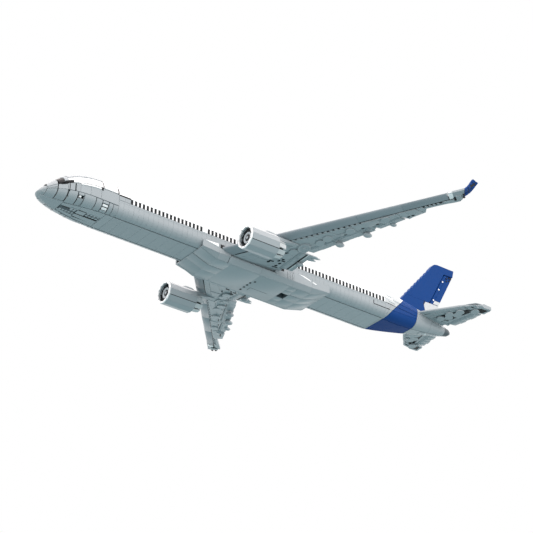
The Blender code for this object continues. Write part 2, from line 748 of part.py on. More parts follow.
def moving_surface(name, start, end, chords, nose, colour):
    """A surface hinged between two points, with a round nose on the hinge line and a bar at each end.

    Its ends and its sections are cut fore and aft, so the nose is an ellipse in them.
    """
    reach = (end - start).normalized()
    fore_aft = Vector((1, 0, 0))
    upright = fore_aft.cross(reach).normalized()
    stretch = 1 / math.sqrt(1 - reach.x ** 2)
    angles = [math.radians(90 + 30 * i) for i in range(7)]

    def oval(centre, radius, turns):
        return [centre + fore_aft * (radius * stretch * math.cos(a)) + upright * (radius * math.sin(a))
                for a in turns]

    def bar(centre):
        return oval(centre, PIN_RADIUS, [*angles, math.radians(315), math.radians(405)])

    def blade(centre, chord):
        tail = centre + fore_aft * chord
        return [*oval(centre, nose, angles), tail - upright * SURFACE_TAIL / 2,
                tail + upright * SURFACE_TAIL / 2]

    beyond = reach * PIN_REACH * stretch
    rings = [bar(start - beyond), bar(start), blade(start, chords[0]),
             blade(end, chords[1]), bar(end), bar(end + beyond)]
    finish(loft(name, rings, place(*start)), colour)
    slant = PIN_RADIUS * abs(reach.x) * stretch
    past = reach * (PIN_REACH * stretch + slant + GAP)
    bore = rod(name + "_bore", start - past, end + past, PIN_RADIUS + GAP)
    return as_cutter(bore)


def lug(name, hand, ends, height, front, rear):
    """A rib through a panel that holds hinge bars behind it and follows the panel's rise and sweep."""
    half = SURFACE_NOSE_RADIUS - GAP
    rings = []
    for y in ends:
        z = height(y)
        rings.append([(front(y), hand * y, z - half), (rear, hand * y, z - half),
                      (rear, hand * y, z + half), (front(y), hand * y, z + half)])
    return as_cutter(loft(name, rings))


def wing(side, hand):
    leading_edge(side, hand)
    jog = HINGE_CLEAR * 2
    stations = (HALF_WIDTH + GAP, CHORDS[1][0], FLAP_JOINT - jog, FLAP_JOINT + jog, LUG_END - LUG_WIDTH + jog,
                LUG_END, STEP_SPAN, STEP_SPAN + STEP_RUN, WING_TIP + GAP)
    rings = [wing_ring(y, hand) for y in stations]
    rings += [tip_ring(hand, 0), tip_ring(hand, 1)]
    panel = loft("wing_panel_" + side, rings)
    finish(panel, GREY)
    surfaces = (("flap_inboard_", (FLAP_START, FLAP_BREAK), FLAP_CHORD),
                ("flap_outboard_", (FLAP_BREAK + LUG_SPACE, FLAP_END), FLAP_CHORD),
                ("aileron_", (AILERON_START, AILERON_END), AILERON_CHORD))
    lugs = []
    before = FLAP_START - END_CLEAR - LUG_WIDTH
    for name, (inner, outer), chord in surfaces:
        lugs.append((before, inner - END_CLEAR, hinge_point(chord, inner, hand)))
        before = outer + END_CLEAR
    lugs.append((before, LUG_END - GAP, hinge_point(AILERON_CHORD, AILERON_END, hand)))
    for number, (inner, outer, hinge) in enumerate(lugs):
        rear = hinge.x + PIN_RADIUS + LUG_WALL
        rib = lug("lug_%d_%s" % (number, side), hand, (inner, outer), wing_height, lug_front, rear)
        boolean(panel, rib, "UNION")
    for name, (inner, outer), chord in surfaces:
        start = hinge_point(chord, inner, hand)
        end = hinge_point(chord, outer, hand)
        bore = moving_surface(name + side, start, end, (chord, chord), SURFACE_NOSE_RADIUS, GREY)
        boolean(panel, bore, "DIFFERENCE")


def lug_front(y):
    return panel_front(y) + GAP


def tip_edge(reach, share):
    """A point on the line across the wing's tip: reach runs from the square cut to the raked edge."""
    start = WING_TIP + GAP
    front_y = blend(start, WING_TIP + TIP_OVERHANG, reach)
    tail_y = blend(start, WING_TIP + TIP_TAIL_OVERHANG, reach)
    front = Vector((wing_front(front_y), front_y))
    tail = Vector((front.x + blend(END_CHORD, TIP_CHORD, reach), tail_y))
    point = front.lerp(tail, share)
    return Vector((point.x, point.y, wing_height(point.y)))


def tip_ring(hand, reach):
    """Section of the solid wing tip that closes the panel and the leading edge."""
    half = wing_depth(WING_TIP) / 2
    sections = ((0, -TIP_EDGE), (WING_CREST, -1), (1, -TIP_EDGE), (1, TIP_EDGE), (WING_CREST, 1), (0, TIP_EDGE))
    points = [tip_edge(reach, share) + Vector((0, 0, half * rise)) for share, rise in sections]
    return [(point.x, hand * point.y, point.z) for point in points]


def winglet(side, hand):
    """Blue blade that sweeps up, out and back from the front half of the raked tip."""
    front = tip_edge(1, 0)
    tail = tip_edge(1, WINGLET_ROOT_SHARE)
    edge = (tail - front).normalized()
    away = Vector((-edge.y, edge.x, 0)).normalized() * GAP
    front += away
    tail += away
    top_front = front + Vector((WINGLET_RAKE, WINGLET_LEAN, WINGLET_HEIGHT))
    top_tail = top_front + Vector((WINGLET_TIP_CHORD, 0, 0))
    kick = Vector((WINGLET_LEAN / 2, WINGLET_LEAN / 2, 0))
    rings = []
    for rise, bulge, thick in ((0, 0, Vector((0, 0, 1))), (WINGLET_KNEE, 1, Vector((0, -0.7, 0.7))),
                               (1, 0, Vector((0, -0.7, 0)))):
        nose_point = front.lerp(top_front, rise) + kick * bulge * WINGLET_CREST
        tail_point = tail.lerp(top_tail, rise) + kick * bulge
        middle = nose_point.lerp(tail_point, WINGLET_CREST)
        swell = thick * WINGLET_DEPTH / 2
        ring = [nose_point, middle - swell, tail_point, middle + swell]
        rings.append([(point.x, hand * point.y, point.z) for point in ring])
    finish(loft("winglet_" + side, rings), BLUE)


# Engines

def engine(side, hand):
    y = hand * ENGINE_Y
    station = wing_front(ENGINE_Y) - ENGINE_LEAD
    height = wing_height(ENGINE_Y) - ENGINE_DROP
    lip = place(station, y, height)
    bore = NACELLE_RADIUS - NACELLE_WALL
    web_end = WEB_START + WEB_THICKNESS
    shaft = AXLE_RADIUS + GAP
    inside = [(NACELLE_LENGTH, bore), (web_end, bore), (web_end, shaft), (WEB_START, shaft),
              (WEB_START, bore), (LIP_ROUND, bore), (0, bore + LIP_ROUND)]
    outside = [(0, NACELLE_RADIUS - LIP_ROUND), (LIP_ROUND, NACELLE_RADIUS), (NACELLE_LENGTH, NACELLE_RADIUS)]
    finish(turned("nacelle_" + side, list(reversed(inside + outside)), NACELLE_SIDES, lip), GREY)
    blade_tip = bore * math.cos(math.pi / NACELLE_SIDES) - FAN_TIP_CLEAR
    outline = []
    for blade in range(FAN_BLADES):
        for turn, radius in zip(BLADE_TURNS, (FAN_HUB_RADIUS, blade_tip, blade_tip, FAN_HUB_RADIUS)):
            angle = 2 * math.pi * (blade + turn) / FAN_BLADES
            outline.append((radius * math.cos(angle), radius * math.sin(angle)))
    circle = [2 * math.pi * i / ROUND_SIDES for i in range(ROUND_SIDES)]
    hole = [(shaft * math.cos(a), shaft * math.sin(a)) for a in circle]
    hub = place(station + FAN_START + FAN_THICKNESS / 2, y, height)
    finish(flat("fan_" + side, outline, FAN_THICKNESS, hub, FACING_AFT, [hole]), BLACK)
    axle_start = station + FAN_START
    finish(rod("fan_axle_" + side, (axle_start, y, height),
               (axle_start + AXLE_LENGTH, y, height), AXLE_RADIUS, ROUND_SIDES), SLATE)
    cowl_bore = COWL_RADIUS - COWL_WALL
    floor = COWL_WALL
    throat = cowl_bore - COWL_WALL / 2
    profile = [(EXHAUST_LENGTH, 0), (COWL_LENGTH, EXHAUST_END_RADIUS), (floor, EXHAUST_RADIUS),
               (floor, throat), (COWL_LENGTH, throat), (COWL_LENGTH, COWL_RADIUS - COWL_WALL / 2),
               (0, COWL_RADIUS), (0, 0)]
    end = station + NACELLE_LENGTH + GAP
    back = place(end, y, height)
    finish(turned("aft_cowl_" + side, profile, NACELLE_SIDES, back), SLATE)
    pylon(side, y, end, height)


def pylon(side, y, end, height):
    """Plate on top of the nacelle that hangs the engine from the wing's underside."""
    on_nacelle = height + NACELLE_RADIUS + GAP
    on_cowl = height + COWL_RADIUS + GAP
    inboard = ENGINE_Y - PYLON_WIDTH / 2
    under_wing = wing_height(inboard) - wing_depth(inboard) / 2 - GAP
    ridge = on_nacelle + PYLON_RIDGE
    wing_start = wing_front(inboard) - PYLON_WING_CLEAR
    nose_start = end - PYLON_LEAD
    outline = [(nose_start, on_nacelle), (nose_start + PYLON_RAMP, ridge), (wing_start - PYLON_STEP, ridge),
               (wing_start, under_wing), (end + PYLON_TAIL, under_wing), (end + COWL_LENGTH, on_cowl),
               (end + GAP, on_cowl), (end + GAP, on_nacelle)]
    outline = [(x - end, z) for x, z in outline]
    finish(flat("pylon_" + side, outline, PYLON_WIDTH, place(end, y, 0), FACING_SIDE), GREY)


# Tail

def tail():
    low = BARREL_END + COLLAR_LOW
    high = BARREL_END + COLLAR_HIGH
    front = slanted(low, high)
    rear = slanted(low + BAND_LOW, high + BAND_HIGH)
    finish(skin_panel("tail_collar", BARREL_END, front, 0, 10, rows=3), PALE)
    finish(skin_panel("tail_band", front, rear, 0, 10, rows=5), BLUE)
    finish(skin_panel("tail_cone", rear, CONE_END, 0, 10, rows=5), GREY)
    rings = [skin_ring(CONE_END + GAP / 2, GAP), skin_ring(blend(CONE_END, TAIL_END, TAIL_TIP_SHOULDER), GAP),
             skin_ring(TAIL_END, TAIL_TIP_ROUND)]
    finish(loft("tail_tip", rings), SLATE)


def crown_height(x):
    return section(x)[2]


def rudder_line(z):
    """Station of the rudder's hinge at a height."""
    (low_x, low_z), (high_x, high_z) = RUDDER_LOW, RUDDER_HIGH
    return blend(low_x, high_x, (z - low_z) / (high_z - low_z))


def fin():
    low = RUDDER_LOW[1] - END_CLEAR
    high = RUDDER_HIGH[1] + END_CLEAR
    room = (RUDDER_NOSE_RADIUS + HINGE_CLEAR) * HINGE_SLANT
    root = BARREL_END + FIN_SETBACK
    foot = BARREL_END + FIN_FOOT_SETBACK
    top = BARREL_END + FIN_TOP_SETBACK
    seat = [blend(foot, root, i / FIN_SEAT_STEPS) for i in range(FIN_SEAT_STEPS + 1)]
    outline = [(top - FIN_SHOULDER_RUN, FIN_TOP - FIN_SHOULDER_DROP), (top, FIN_TOP),
               (top + FIN_TOP_LENGTH, FIN_TOP),
               (rudder_line(high) + RUDDER_CHORD_HIGH, high), (rudder_line(high) - room, high),
               (rudder_line(low) - room, low), (rudder_line(low) + RUDDER_CHORD_LOW, low)]
    outline += [(x, crown_height(x) + GAP) for x in seat]
    outline = [(x - root, z) for x, z in outline]
    plate = flat("fin", outline, FIN_THICKNESS, place(root, 0, 0), FACING_SIDE)
    plate = finish(as_mesh(plate), BLUE)
    start = Vector((RUDDER_LOW[0], 0, RUDDER_LOW[1]))
    end = Vector((RUDDER_HIGH[0], 0, RUDDER_HIGH[1]))
    chords = (RUDDER_CHORD_LOW, RUDDER_CHORD_HIGH)
    bore = moving_surface("rudder", start, end, chords, RUDDER_NOSE_RADIUS, BLUE)
    boolean(plate, bore, "DIFFERENCE")


def stab_front(y):
    return BARREL_END + STAB_SETBACK + (y - STAB_ROOT_Y) * STAB_SWEEP


def stab_tail(y):
    return BARREL_END + STAB_SETBACK + STAB_ROOT_CHORD + (y - STAB_ROOT_Y) * STAB_TAIL_SWEEP


def stab_height(y):
    return STAB_HEIGHT + (y - STAB_ROOT_Y) * STAB_RISE


def stab_ring(y, hand, chord, root=False, rake=0, cut=0):
    """Section of a stabiliser. At the root it follows the side of the tail cone."""
    room = chord and chord + (SURFACE_NOSE_RADIUS + HINGE_CLEAR) * HINGE_SLANT
    front = stab_front(y) + rake
    rear = stab_tail(y) - room - cut
    crest = blend(front, rear, STAB_CREST)
    z = stab_height(y)
    half = STAB_DEPTH / 2
    thin = SURFACE_NOSE_RADIUS
    edge = STAB_EDGE / 2
    ring = [(front, z - edge), (crest, z - half), (rear, z - thin),
            (rear, z + thin), (crest, z + half), (front, z + edge)]
    points = []
    for x, height in ring:
        side_y = section(x)[0] + GAP if root else y
        points.append((x, hand * side_y, height))
    return points


def stab_lug_front(y):
    return blend(stab_front(y), stab_tail(y), STAB_LUG_FRONT)


def stabiliser(side, hand):
    last = ELEVATOR_END + END_CLEAR
    rings = [stab_ring(STAB_ROOT_Y, hand, ELEVATOR_CHORD, True),
             stab_ring(ELEVATOR_START, hand, ELEVATOR_CHORD),
             stab_ring(last, hand, ELEVATOR_CHORD), stab_ring(last + LUG_WIDTH, hand, 0),
             stab_ring(STAB_TIP, hand, 0, rake=STAB_TIP_RAKE, cut=STAB_TIP_CUT)]
    panel = finish(loft("stabiliser_" + side, rings), GREY)
    first = ELEVATOR_START - END_CLEAR
    for number, (a, b) in enumerate(((first - LUG_WIDTH, first), (last, last + LUG_WIDTH - GAP))):
        rear = stab_tail(b) - ELEVATOR_CHORD + PIN_RADIUS + LUG_WALL
        rib = lug("stab_lug_%d_%s" % (number, side), hand, (a, b), stab_height, stab_lug_front, rear)
        boolean(panel, rib, "UNION")
    ends = [Vector((stab_tail(y) - ELEVATOR_CHORD, hand * y, stab_height(y)))
            for y in (ELEVATOR_START, ELEVATOR_END)]
    chords = (ELEVATOR_CHORD, ELEVATOR_CHORD)
    bore = moving_surface("elevator_" + side, *ends, chords, SURFACE_NOSE_RADIUS, GREY)
    boolean(panel, bore, "DIFFERENCE")


spine()
for bulkhead_name, bulkhead_station in BULKHEADS.items():
    bulkhead(bulkhead_name, bulkhead_station)
carry_through()
nose()
barrel()
fairing()
tail()
fin()
for side_name, side_hand in SIDES.items():
    wing(side_name, side_hand)
    winglet(side_name, side_hand)
    engine(side_name, side_hand)
    stabiliser(side_name, side_hand)
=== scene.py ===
"""Brick-built desktop airliner: plated skins, wings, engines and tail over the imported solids.

Stations run aft from the nose tip and heights start at the window belt, both in millimetres.
Pieces with two sides are drawn for starboard, and the stock's hand mirrors them to port.
"""
import math
import random

import bmesh
import bpy
from mathutils import Matrix, Vector


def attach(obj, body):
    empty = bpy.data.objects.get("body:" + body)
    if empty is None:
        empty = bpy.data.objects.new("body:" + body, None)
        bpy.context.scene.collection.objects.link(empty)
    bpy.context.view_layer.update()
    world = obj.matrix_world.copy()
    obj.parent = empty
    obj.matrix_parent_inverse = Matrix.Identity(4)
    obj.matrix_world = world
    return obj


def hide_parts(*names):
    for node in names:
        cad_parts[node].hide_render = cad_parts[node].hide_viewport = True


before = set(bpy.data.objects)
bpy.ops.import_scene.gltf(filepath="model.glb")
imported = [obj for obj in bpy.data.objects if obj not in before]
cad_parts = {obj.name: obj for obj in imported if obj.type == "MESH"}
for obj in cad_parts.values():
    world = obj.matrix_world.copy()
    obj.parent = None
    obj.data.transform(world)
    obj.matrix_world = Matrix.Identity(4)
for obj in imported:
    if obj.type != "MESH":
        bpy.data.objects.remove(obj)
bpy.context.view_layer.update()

MM = 0.001
SOCKET_STATION = 412.0
FAIRING_DEPTH = 37.2
PLATE = 3.2
SEAM = 0.1             # half of the line between two plates
EDGE = 0.22            # chamfer on a plate's edges
CREASE = math.radians(32)  # a sharper bend shows as an edge
PLAY = 0.00003         # how far off its place a plate may sit, in metres
SIDES = {"port": -1, "starboard": 1}

# Fuselage
NOSE_LENGTH = 110.0
NOSE_TIP = -16.5
WIDENING_LENGTH = 95.0
CHIN_LENGTH = 55.0
BROW_LENGTH = 85.0
BARREL_JOINT = 352.0
BARREL_END = 583.0
TAIL_LENGTH = 156.0
TAIL_HALF_WIDTH = 5.0
TAIL_CROWN = 9.6
HALF_WIDTH = 32.0
BELLY = -26.3
CROWN = 28.8
HALF_BELT = 4.0
CORNER = 12.0          # radius of the lower corner
SIDE_HEIGHT = 22.3     # from the belly to the belt
BELT_INNER = 30.4
BELT_FOOT = -3.85
WINDOW_HEAD = 3.5
FIRST_WINDOW = 130.6
WINDOW_PITCH = 6.4
WINDOW_COUNT = 71
PANE_SHARE = 0.29      # half of a pane, as a share of the pitch
DOOR_WINDOW = 19
NOTCH_START = 295.7
NOTCH_END = 362.3

# Wings, engines and tail
ENGINE_Y = 99.0
ENGINE_LIP = 271.97
ENGINE_HEIGHT = -34.84
NACELLE_RADIUS = 17.5
NACELLE_LENGTH = 48.4
CASING_SIDES = 12
FAN_BLADES = 12
COWL_SIDES = 8
FLAP_CHORD = 13.0
AILERON_CHORD = 10.0
ELEVATOR_CHORD = 13.0
SURFACE_NOSE = 2.5
SURFACE_TAIL = 0.8


def spot(point):
    """World position, in metres, of a station, a side distance and a height above the belt."""
    x, y, z = point
    return Vector(((x - SOCKET_STATION) * MM, y * MM, (z + FAIRING_DEPTH) * MM))


def blend(a, b, share):
    return a + (b - a) * share


def along(points, at):
    """Value at one place of a chain of straight runs given as (place, value)."""
    for (a, value_a), (b, value_b) in zip(points, points[1:]):
        if at <= b:
            break
    return blend(value_a, value_b, (at - a) / (b - a))


def spread(start, end, pitch):
    """Equal spans between two places, as near to a pitch as they come."""
    count = max(1, round((end - start) / pitch))
    return [(blend(start, end, i / count), blend(start, end, (i + 1) / count)) for i in range(count)]


# Node trees

class Wire:
    """A socket of a node tree. Arithmetic on it adds Math nodes, and add() adds any other node."""

    def __init__(self, tree, socket=None):
        self.tree = tree
        self.socket = socket

    def add(self, kind, settings=None, inputs=None, out=0):
        node = self.tree.nodes.new(kind)
        for key, value in (settings or {}).items():
            setattr(node, key, value)
        for key, value in (inputs or {}).items():
            if isinstance(value, Wire):
                self.tree.links.new(value.socket, node.inputs[key])
            else:
                node.inputs[key].default_value = value
        return Wire(self.tree, node.outputs[out]) if node.outputs else None

    def into(self, socket):
        self.tree.links.new(self.socket, socket)

    def math(self, operation, a, b):
        return self.add("ShaderNodeMath", {"operation": operation}, {0: a, 1: b})

    def mix(self, share, a, b):
        return self.add("ShaderNodeMix", {"data_type": "RGBA"}, {0: share, 6: a, 7: b}, 2)

    def __add__(self, other):
        return self.math("ADD", self, other)

    def __sub__(self, other):
        return self.math("SUBTRACT", self, other)

    def __rsub__(self, other):
        return self.math("SUBTRACT", other, self)

    def __mul__(self, other):
        return self.math("MULTIPLY", self, other)

    __radd__ = __add__
    __rmul__ = __mul__


FLOW_SCALE = 55.0
SCUFF_STRETCH = (60.0, 900.0, 420.0)
SCUFF_TURN = (0.3, 0.2, 0.6)
PORE_SCALE = 2600.0
PORE_DEPTH = 0.0002


def plastic(name, colour, roughness, shade=0.05, gloss=0.3, grain=0.12):
    """Moulded plastic: plates differ a little in shade, with mould flow, faint scuffs and a fine grain."""
    material = bpy.data.materials.new(name)
    material.use_nodes = True
    tree = material.node_tree
    shader = tree.nodes["Principled BSDF"]
    start = Wire(tree)
    where = start.add("ShaderNodeTexCoord", out="Object")
    stretched = start.add("ShaderNodeMapping", None,
                          {"Vector": where, "Rotation": SCUFF_TURN, "Scale": SCUFF_STRETCH})

    def noise(vector, scale, detail):
        return start.add("ShaderNodeTexNoise", None,
                         {"Vector": vector, "Scale": scale, "Detail": detail}, "Fac")

    flow = noise(where, FLOW_SCALE, 3.0)
    scuff = noise(stretched, 1.0, 4.0)
    pores = noise(where, PORE_SCALE, 1.0)
    plate = start.add("ShaderNodeAttribute", {"attribute_name": "tone"}, out="Fac")
    row = start.add("ShaderNodeAttribute", {"attribute_name": "row_tone"}, out="Fac")
    lightness = 0.5 + 0.35 * plate + 0.35 * row + 0.7 * (flow - 0.5)
    dark = (*[channel * (1 - shade) for channel in colour], 1)
    light = (*[channel * (1 + shade) for channel in colour], 1)
    start.mix(lightness, dark, light).into(shader.inputs["Base Color"])
    (roughness + 0.16 * (scuff - 0.5) + 0.1 * (flow - 0.5)).into(shader.inputs["Roughness"])
    bump = start.add("ShaderNodeBump", None,
                     {"Strength": grain, "Distance": PORE_DEPTH, "Height": pores + 0.4 * scuff})
    bump.into(shader.inputs["Normal"])
    shader.inputs["Specular IOR Level"].default_value = gloss
    return material


GREY = plastic("grey_plates", (0.335, 0.372, 0.392), 0.36)
# Darker grey than the other plates, for the leading-edge strips: painted shade, as the strips face forward
# and down, away from the light.
LEADING_EDGE_PAINTED_SHADE = plastic("leading_edge_grey_in_painted_shade", (0.265, 0.3, 0.325), 0.36)
# Pale grey: the cowl bricks' own colour, and also the white fin foot and lowest rudder plate drawn darker as
# painted shade.
PALE_GREY_AND_WHITE_IN_PAINTED_SHADE = plastic("pale_grey_bricks_and_white_in_painted_shade", (0.56, 0.59, 0.6), 0.34)
WHITE = plastic("white_plates", (0.87, 0.88, 0.885), 0.3, 0.03)
BLUE = plastic("blue_plates", (0.006, 0.05, 0.21), 0.5, 0.06, 0.06)
BLACK = plastic("black_gloss", (0.012, 0.014, 0.016), 0.3, 0.1, 0.12, 0.03)
SLATE = plastic("slate_bricks", (0.085, 0.108, 0.122), 0.42, 0.08, 0.2)


def new_tree(name, sockets):
    """An empty geometry tree with named inputs: its start, its input wires and a call that closes it."""
    tree = bpy.data.node_groups.new(name, "GeometryNodeTree")
    tree.interface.new_socket("Geometry", in_out="OUTPUT", socket_type="NodeSocketGeometry")
    for label, kind in sockets.items():
        tree.interface.new_socket(label, in_out="INPUT", socket_type="NodeSocket" + kind)
    source = tree.nodes.new("NodeGroupInput")
    wires = {label: Wire(tree, source.outputs[label]) for label in sockets}

    def close(instances):
        solid = instances.add("GeometryNodeRealizeInstances", None, {0: instances})
        painted = solid.add("GeometryNodeSetMaterial", None,
                            {"Geometry": solid, "Material": wires["Material"]})
        painted.add("NodeGroupOutput", None, {0: painted})
        return tree

    return Wire(tree), wires, close


def shaded_copies(start, wires, instances):
    """Give each copy its own slight shade."""
    shade = start.add("FunctionNodeRandomValue", {"data_type": "FLOAT"},
                      {2: -1.0, 3: 1.0, 8: wires["Seed"]}, 1)
    return start.add("GeometryNodeStoreNamedAttribute", {"data_type": "FLOAT", "domain": "INSTANCE"},
                     {"Geometry": instances, "Name": "row_tone", "Value": shade})


def row_tree():
    """One course of plates, repeated in a row with a hair's breadth of play."""
    start, wires, close = new_tree("plates_in_a_row", {
        "Geometry": "Geometry", "Count": "Int", "Step": "Vector", "Play": "Float", "Seed": "Int",
        "Material": "Material"})
    line = start.add("GeometryNodeMeshLine", None, {"Count": wires["Count"], "Offset": wires["Step"]})
    copies = start.add("GeometryNodeInstanceOnPoints", None, {"Points": line, "Instance": wires["Geometry"]})
    low = start.add("ShaderNodeCombineXYZ", None, {axis: wires["Play"] * -1.0 for axis in range(3)})
    high = start.add("ShaderNodeCombineXYZ", None, {axis: wires["Play"] for axis in range(3)})
    play = start.add("FunctionNodeRandomValue", {"data_type": "FLOAT_VECTOR"},
                     {0: low, 1: high, 8: wires["Seed"]})
    moved = start.add("GeometryNodeTranslateInstances", None, {"Instances": copies, "Translation": play})
    return close(shaded_copies(start, wires, moved))


def ring_tree():
    """One piece repeated round a fore-and-aft axle."""
    start, wires, close = new_tree("ring_about_axle", {
        "Geometry": "Geometry", "Count": "Int", "Centre": "Vector", "Seed": "Int", "Material": "Material"})
    line = start.add("GeometryNodeMeshLine", None, {"Count": wires["Count"], "Offset": (0.0, 0.0, 0.0)})
    copies = start.add("GeometryNodeInstanceOnPoints", None, {"Points": line, "Instance": wires["Geometry"]})
    index = start.add("GeometryNodeInputIndex")
    angle = start.math("DIVIDE", index * (2 * math.pi), wires["Count"])
    turn = start.add("ShaderNodeCombineXYZ", None, {0: angle})
    turned = start.add("GeometryNodeRotateInstances", None,
                       {"Instances": copies, "Rotation": turn, "Pivot Point": wires["Centre"],
                        "Local Space": False})
    return close(shaded_copies(start, wires, turned))


def points_tree():
    """One small piece set on every point, standing along the point's facing."""
    start, wires, close = new_tree("set_on_points", {
        "Geometry": "Geometry", "Piece": "Object", "Seed": "Int", "Material": "Material"})
    facing = start.add("GeometryNodeInputNamedAttribute", {"data_type": "FLOAT_VECTOR"}, {"Name": "facing"})
    stand = start.add("FunctionNodeAlignRotationToVector", {"axis": "Z"}, {"Vector": facing})
    piece_shape = start.add("GeometryNodeObjectInfo", None, {"Object": wires["Piece"]}, "Geometry")
    copies = start.add("GeometryNodeInstanceOnPoints", None,
                       {"Points": wires["Geometry"], "Instance": piece_shape, "Rotation": stand})
    return close(shaded_copies(start, wires, copies))


ROW = row_tree()
RING = ring_tree()
POINTS = points_tree()


# Stock: plates and other closed bodies

def inset(outline, up, amount):
    """A flat outline moved inwards."""
    around = sum((a.cross(b) for a, b in zip(outline, outline[1:] + outline[:1])), Vector())
    hand = 1 if around.dot(up) > 0 else -1
    moved = []
    for before, point, after in zip(outline[-1:] + outline[:-1], outline, outline[1:] + outline[:1]):
        a = up.cross((point - before).normalized()) * hand
        b = up.cross((after - point).normalized()) * hand
        moved.append(point + (a + b) * amount / max(0.35, 1 + a.dot(b)))
    return moved


def fuselage_heart(point):
    return Vector((point.x, 0, 0))


class Stock:
    """Closed bodies gathered in one mesh, each with its own slight shade."""

    def __init__(self, seed=1, hand=1):
        self.builder = bmesh.new()
        self.tone = self.builder.verts.layers.float.new("tone")
        self.builder.verts.layers.float.new("row_tone")
        self.random = random.Random(seed)
        self.hand = hand
        self.shade = 0.0
        self.paint = 0

    def vert(self, point):
        x, y, z = point
        vertex = self.builder.verts.new(spot((x, y * self.hand, z)))
        vertex[self.tone] = self.shade
        return vertex

    def face(self, corners, smooth=False):
        made = self.builder.faces.new(corners)
        made.material_index = self.paint
        made.smooth = smooth

    def loft(self, loops, smooth=False):
        """A body through loops of equal count, closed at both ends."""
        self.shade = self.random.uniform(-1, 1)
        rows = [[self.vert(point) for point in loop] for loop in loops]
        count = len(rows[0])
        for row, following in zip(rows, rows[1:]):
            for i in range(count):
                j = (i + 1) % count
                self.face((row[i], row[j], following[j], following[i]), smooth)
        self.face(rows[0])
        self.face(rows[-1])

    def plate(self, outline, up, depth=PLATE, bevel=EDGE, gap=SEAM):
        """A flat plate: its outer face is the outline, less half a seam, with chamfered edges."""
        points = [Vector(point) for point in outline]
        up = Vector(up).normalized()
        wall = inset(points, up, gap)
        self.loft([inset(points, up, gap + bevel), [point - up * bevel for point in wall],
                   [point - up * depth for point in wall]])

    def block(self, low, high, bevel=EDGE):
        """A box with chamfered edges, standing along z."""
        (x0, y0, z0), (x1, y1, z1) = low, high
        points = [Vector((x0, y0, 0)), Vector((x1, y0, 0)), Vector((x1, y1, 0)), Vector((x0, y1, 0))]
        small = inset(points, Vector((0, 0, 1)), bevel)
        heights = ((small, z0), (points, z0 + bevel), (points, z1 - bevel), (small, z1))
        self.loft([[point + Vector((0, 0, z)) for point in loop] for loop, z in heights])

    def slab(self, outline, y0, y1, bevel=EDGE, gap=0.0):
        """An upright (x, z) outline drawn out between two side distances, with chamfered edges."""
        points = [Vector((x, 0, z)) for x, z in outline]
        across = Vector((0, 1, 0))
        wall = inset(points, across, gap) if gap else points
        small = inset(points, across, gap + bevel)
        steps = ((small, y0), (wall, y0 + bevel), (wall, y1 - bevel), (small, y1))
        self.loft([[point + across * y for point in loop] for loop, y in steps])

    def patch(self, surface, u_range, v_range, steps, depth=PLATE, bevel=EDGE, gap=SEAM,
              heart=fuselage_heart, lift=0.0):
        """A curved plate on a surface, with chamfered edges."""
        self.shade = self.random.uniform(-1, 1)
        (u0, u1), (v0, v1) = u_range, v_range
        u_steps, v_steps = steps
        u_mid = (u0 + u1) / 2
        v_mid = (v0 + v1) / 2
        u_step = (u1 - u0) * 0.01
        v_step = (v1 - v0) * 0.01
        u_length = (surface(u1, v_mid) - surface(u_mid, v_mid)).length * 2
        v_length = ((surface(u_mid, v1) - surface(u_mid, v_mid)).length
                    + (surface(u_mid, v_mid) - surface(u_mid, v0)).length)

        def normal(u, v):
            run = surface(u + u_step, v) - surface(u - u_step, v)
            return run.cross(surface(u, v + v_step) - surface(u, v - v_step)).normalized()

        middle = surface(u_mid, v_mid)
        side = 1 if normal(u_mid, v_mid).dot(middle - heart(middle)) > 0 else -1

        def grid(margin, drop):
            u_in = min(0.3, margin / u_length)
            v_in = min(0.3, margin / v_length)
            rows = []
            for i in range(u_steps + 1):
                u = blend(u0, u1, blend(u_in, 1 - u_in, i / u_steps))
                row = []
                for j in range(v_steps + 1):
                    v = blend(v0, v1, blend(v_in, 1 - v_in, j / v_steps))
                    row.append(self.vert(surface(u, v) + normal(u, v) * side * (lift - drop)))
                rows.append(row)
            return rows

        top = grid(gap + bevel, 0)
        rim = grid(gap, bevel)
        low = grid(gap, depth)
        border = [(i, 0) for i in range(u_steps)] + [(u_steps, j) for j in range(v_steps)]
        border += [(i, v_steps) for i in range(u_steps, 0, -1)] + [(0, j) for j in range(v_steps, 0, -1)]
        inner = [rim[i][j] for i in range(1, u_steps) for j in range(1, v_steps)]
        for rows, smooth in ((top, True), (low, False)):
            for i in range(u_steps):
                for j in range(v_steps):
                    self.face((rows[i][j], rows[i + 1][j], rows[i + 1][j + 1], rows[i][j + 1]), smooth)
        for (a, b), (c, d) in zip(border, border[1:] + border[:1]):
            self.face((top[a][b], top[c][d], rim[c][d], rim[a][b]))
            self.face((rim[a][b], rim[c][d], low[c][d], low[a][b]))
        for vertex in inner:
            self.builder.verts.remove(vertex)

    def turned(self, centre, axis, profile, sides, smooth=True, start=0.0):
        """A body turned about an axis through a point. Profile points are (along, radius)."""
        centre = Vector(centre)
        axis = Vector(axis).normalized()
        across = axis.orthogonal().normalized()
        if abs(axis.x) > 0.99:
            across = Vector((0, 0, 1))
        third = axis.cross(across)
        loops = []
        for reach, radius in profile:
            loop = []
            for i in range(sides):
                angle = start + 2 * math.pi * i / sides
                loop.append(centre + axis * reach
                            + (across * math.cos(angle) + third * math.sin(angle)) * max(radius, 0.02))
            loops.append(loop)
        self.loft(loops, smooth)

    def take(self, mesh):
        """Add a finished mesh, in the paint that is set."""
        before = len(self.builder.faces)
        self.builder.from_mesh(mesh)
        self.builder.faces.ensure_lookup_table()
        for face in self.builder.faces[before:]:
            face.material_index = self.paint

    def mesh(self, name):
        bmesh.ops.recalc_face_normals(self.builder, faces=self.builder.faces)
        for edge in self.builder.edges:
            edge.smooth = edge.calc_face_angle(math.pi) < CREASE
        made = bpy.data.meshes.new(name)
        self.builder.to_mesh(made)
        self.builder.free()
        return made


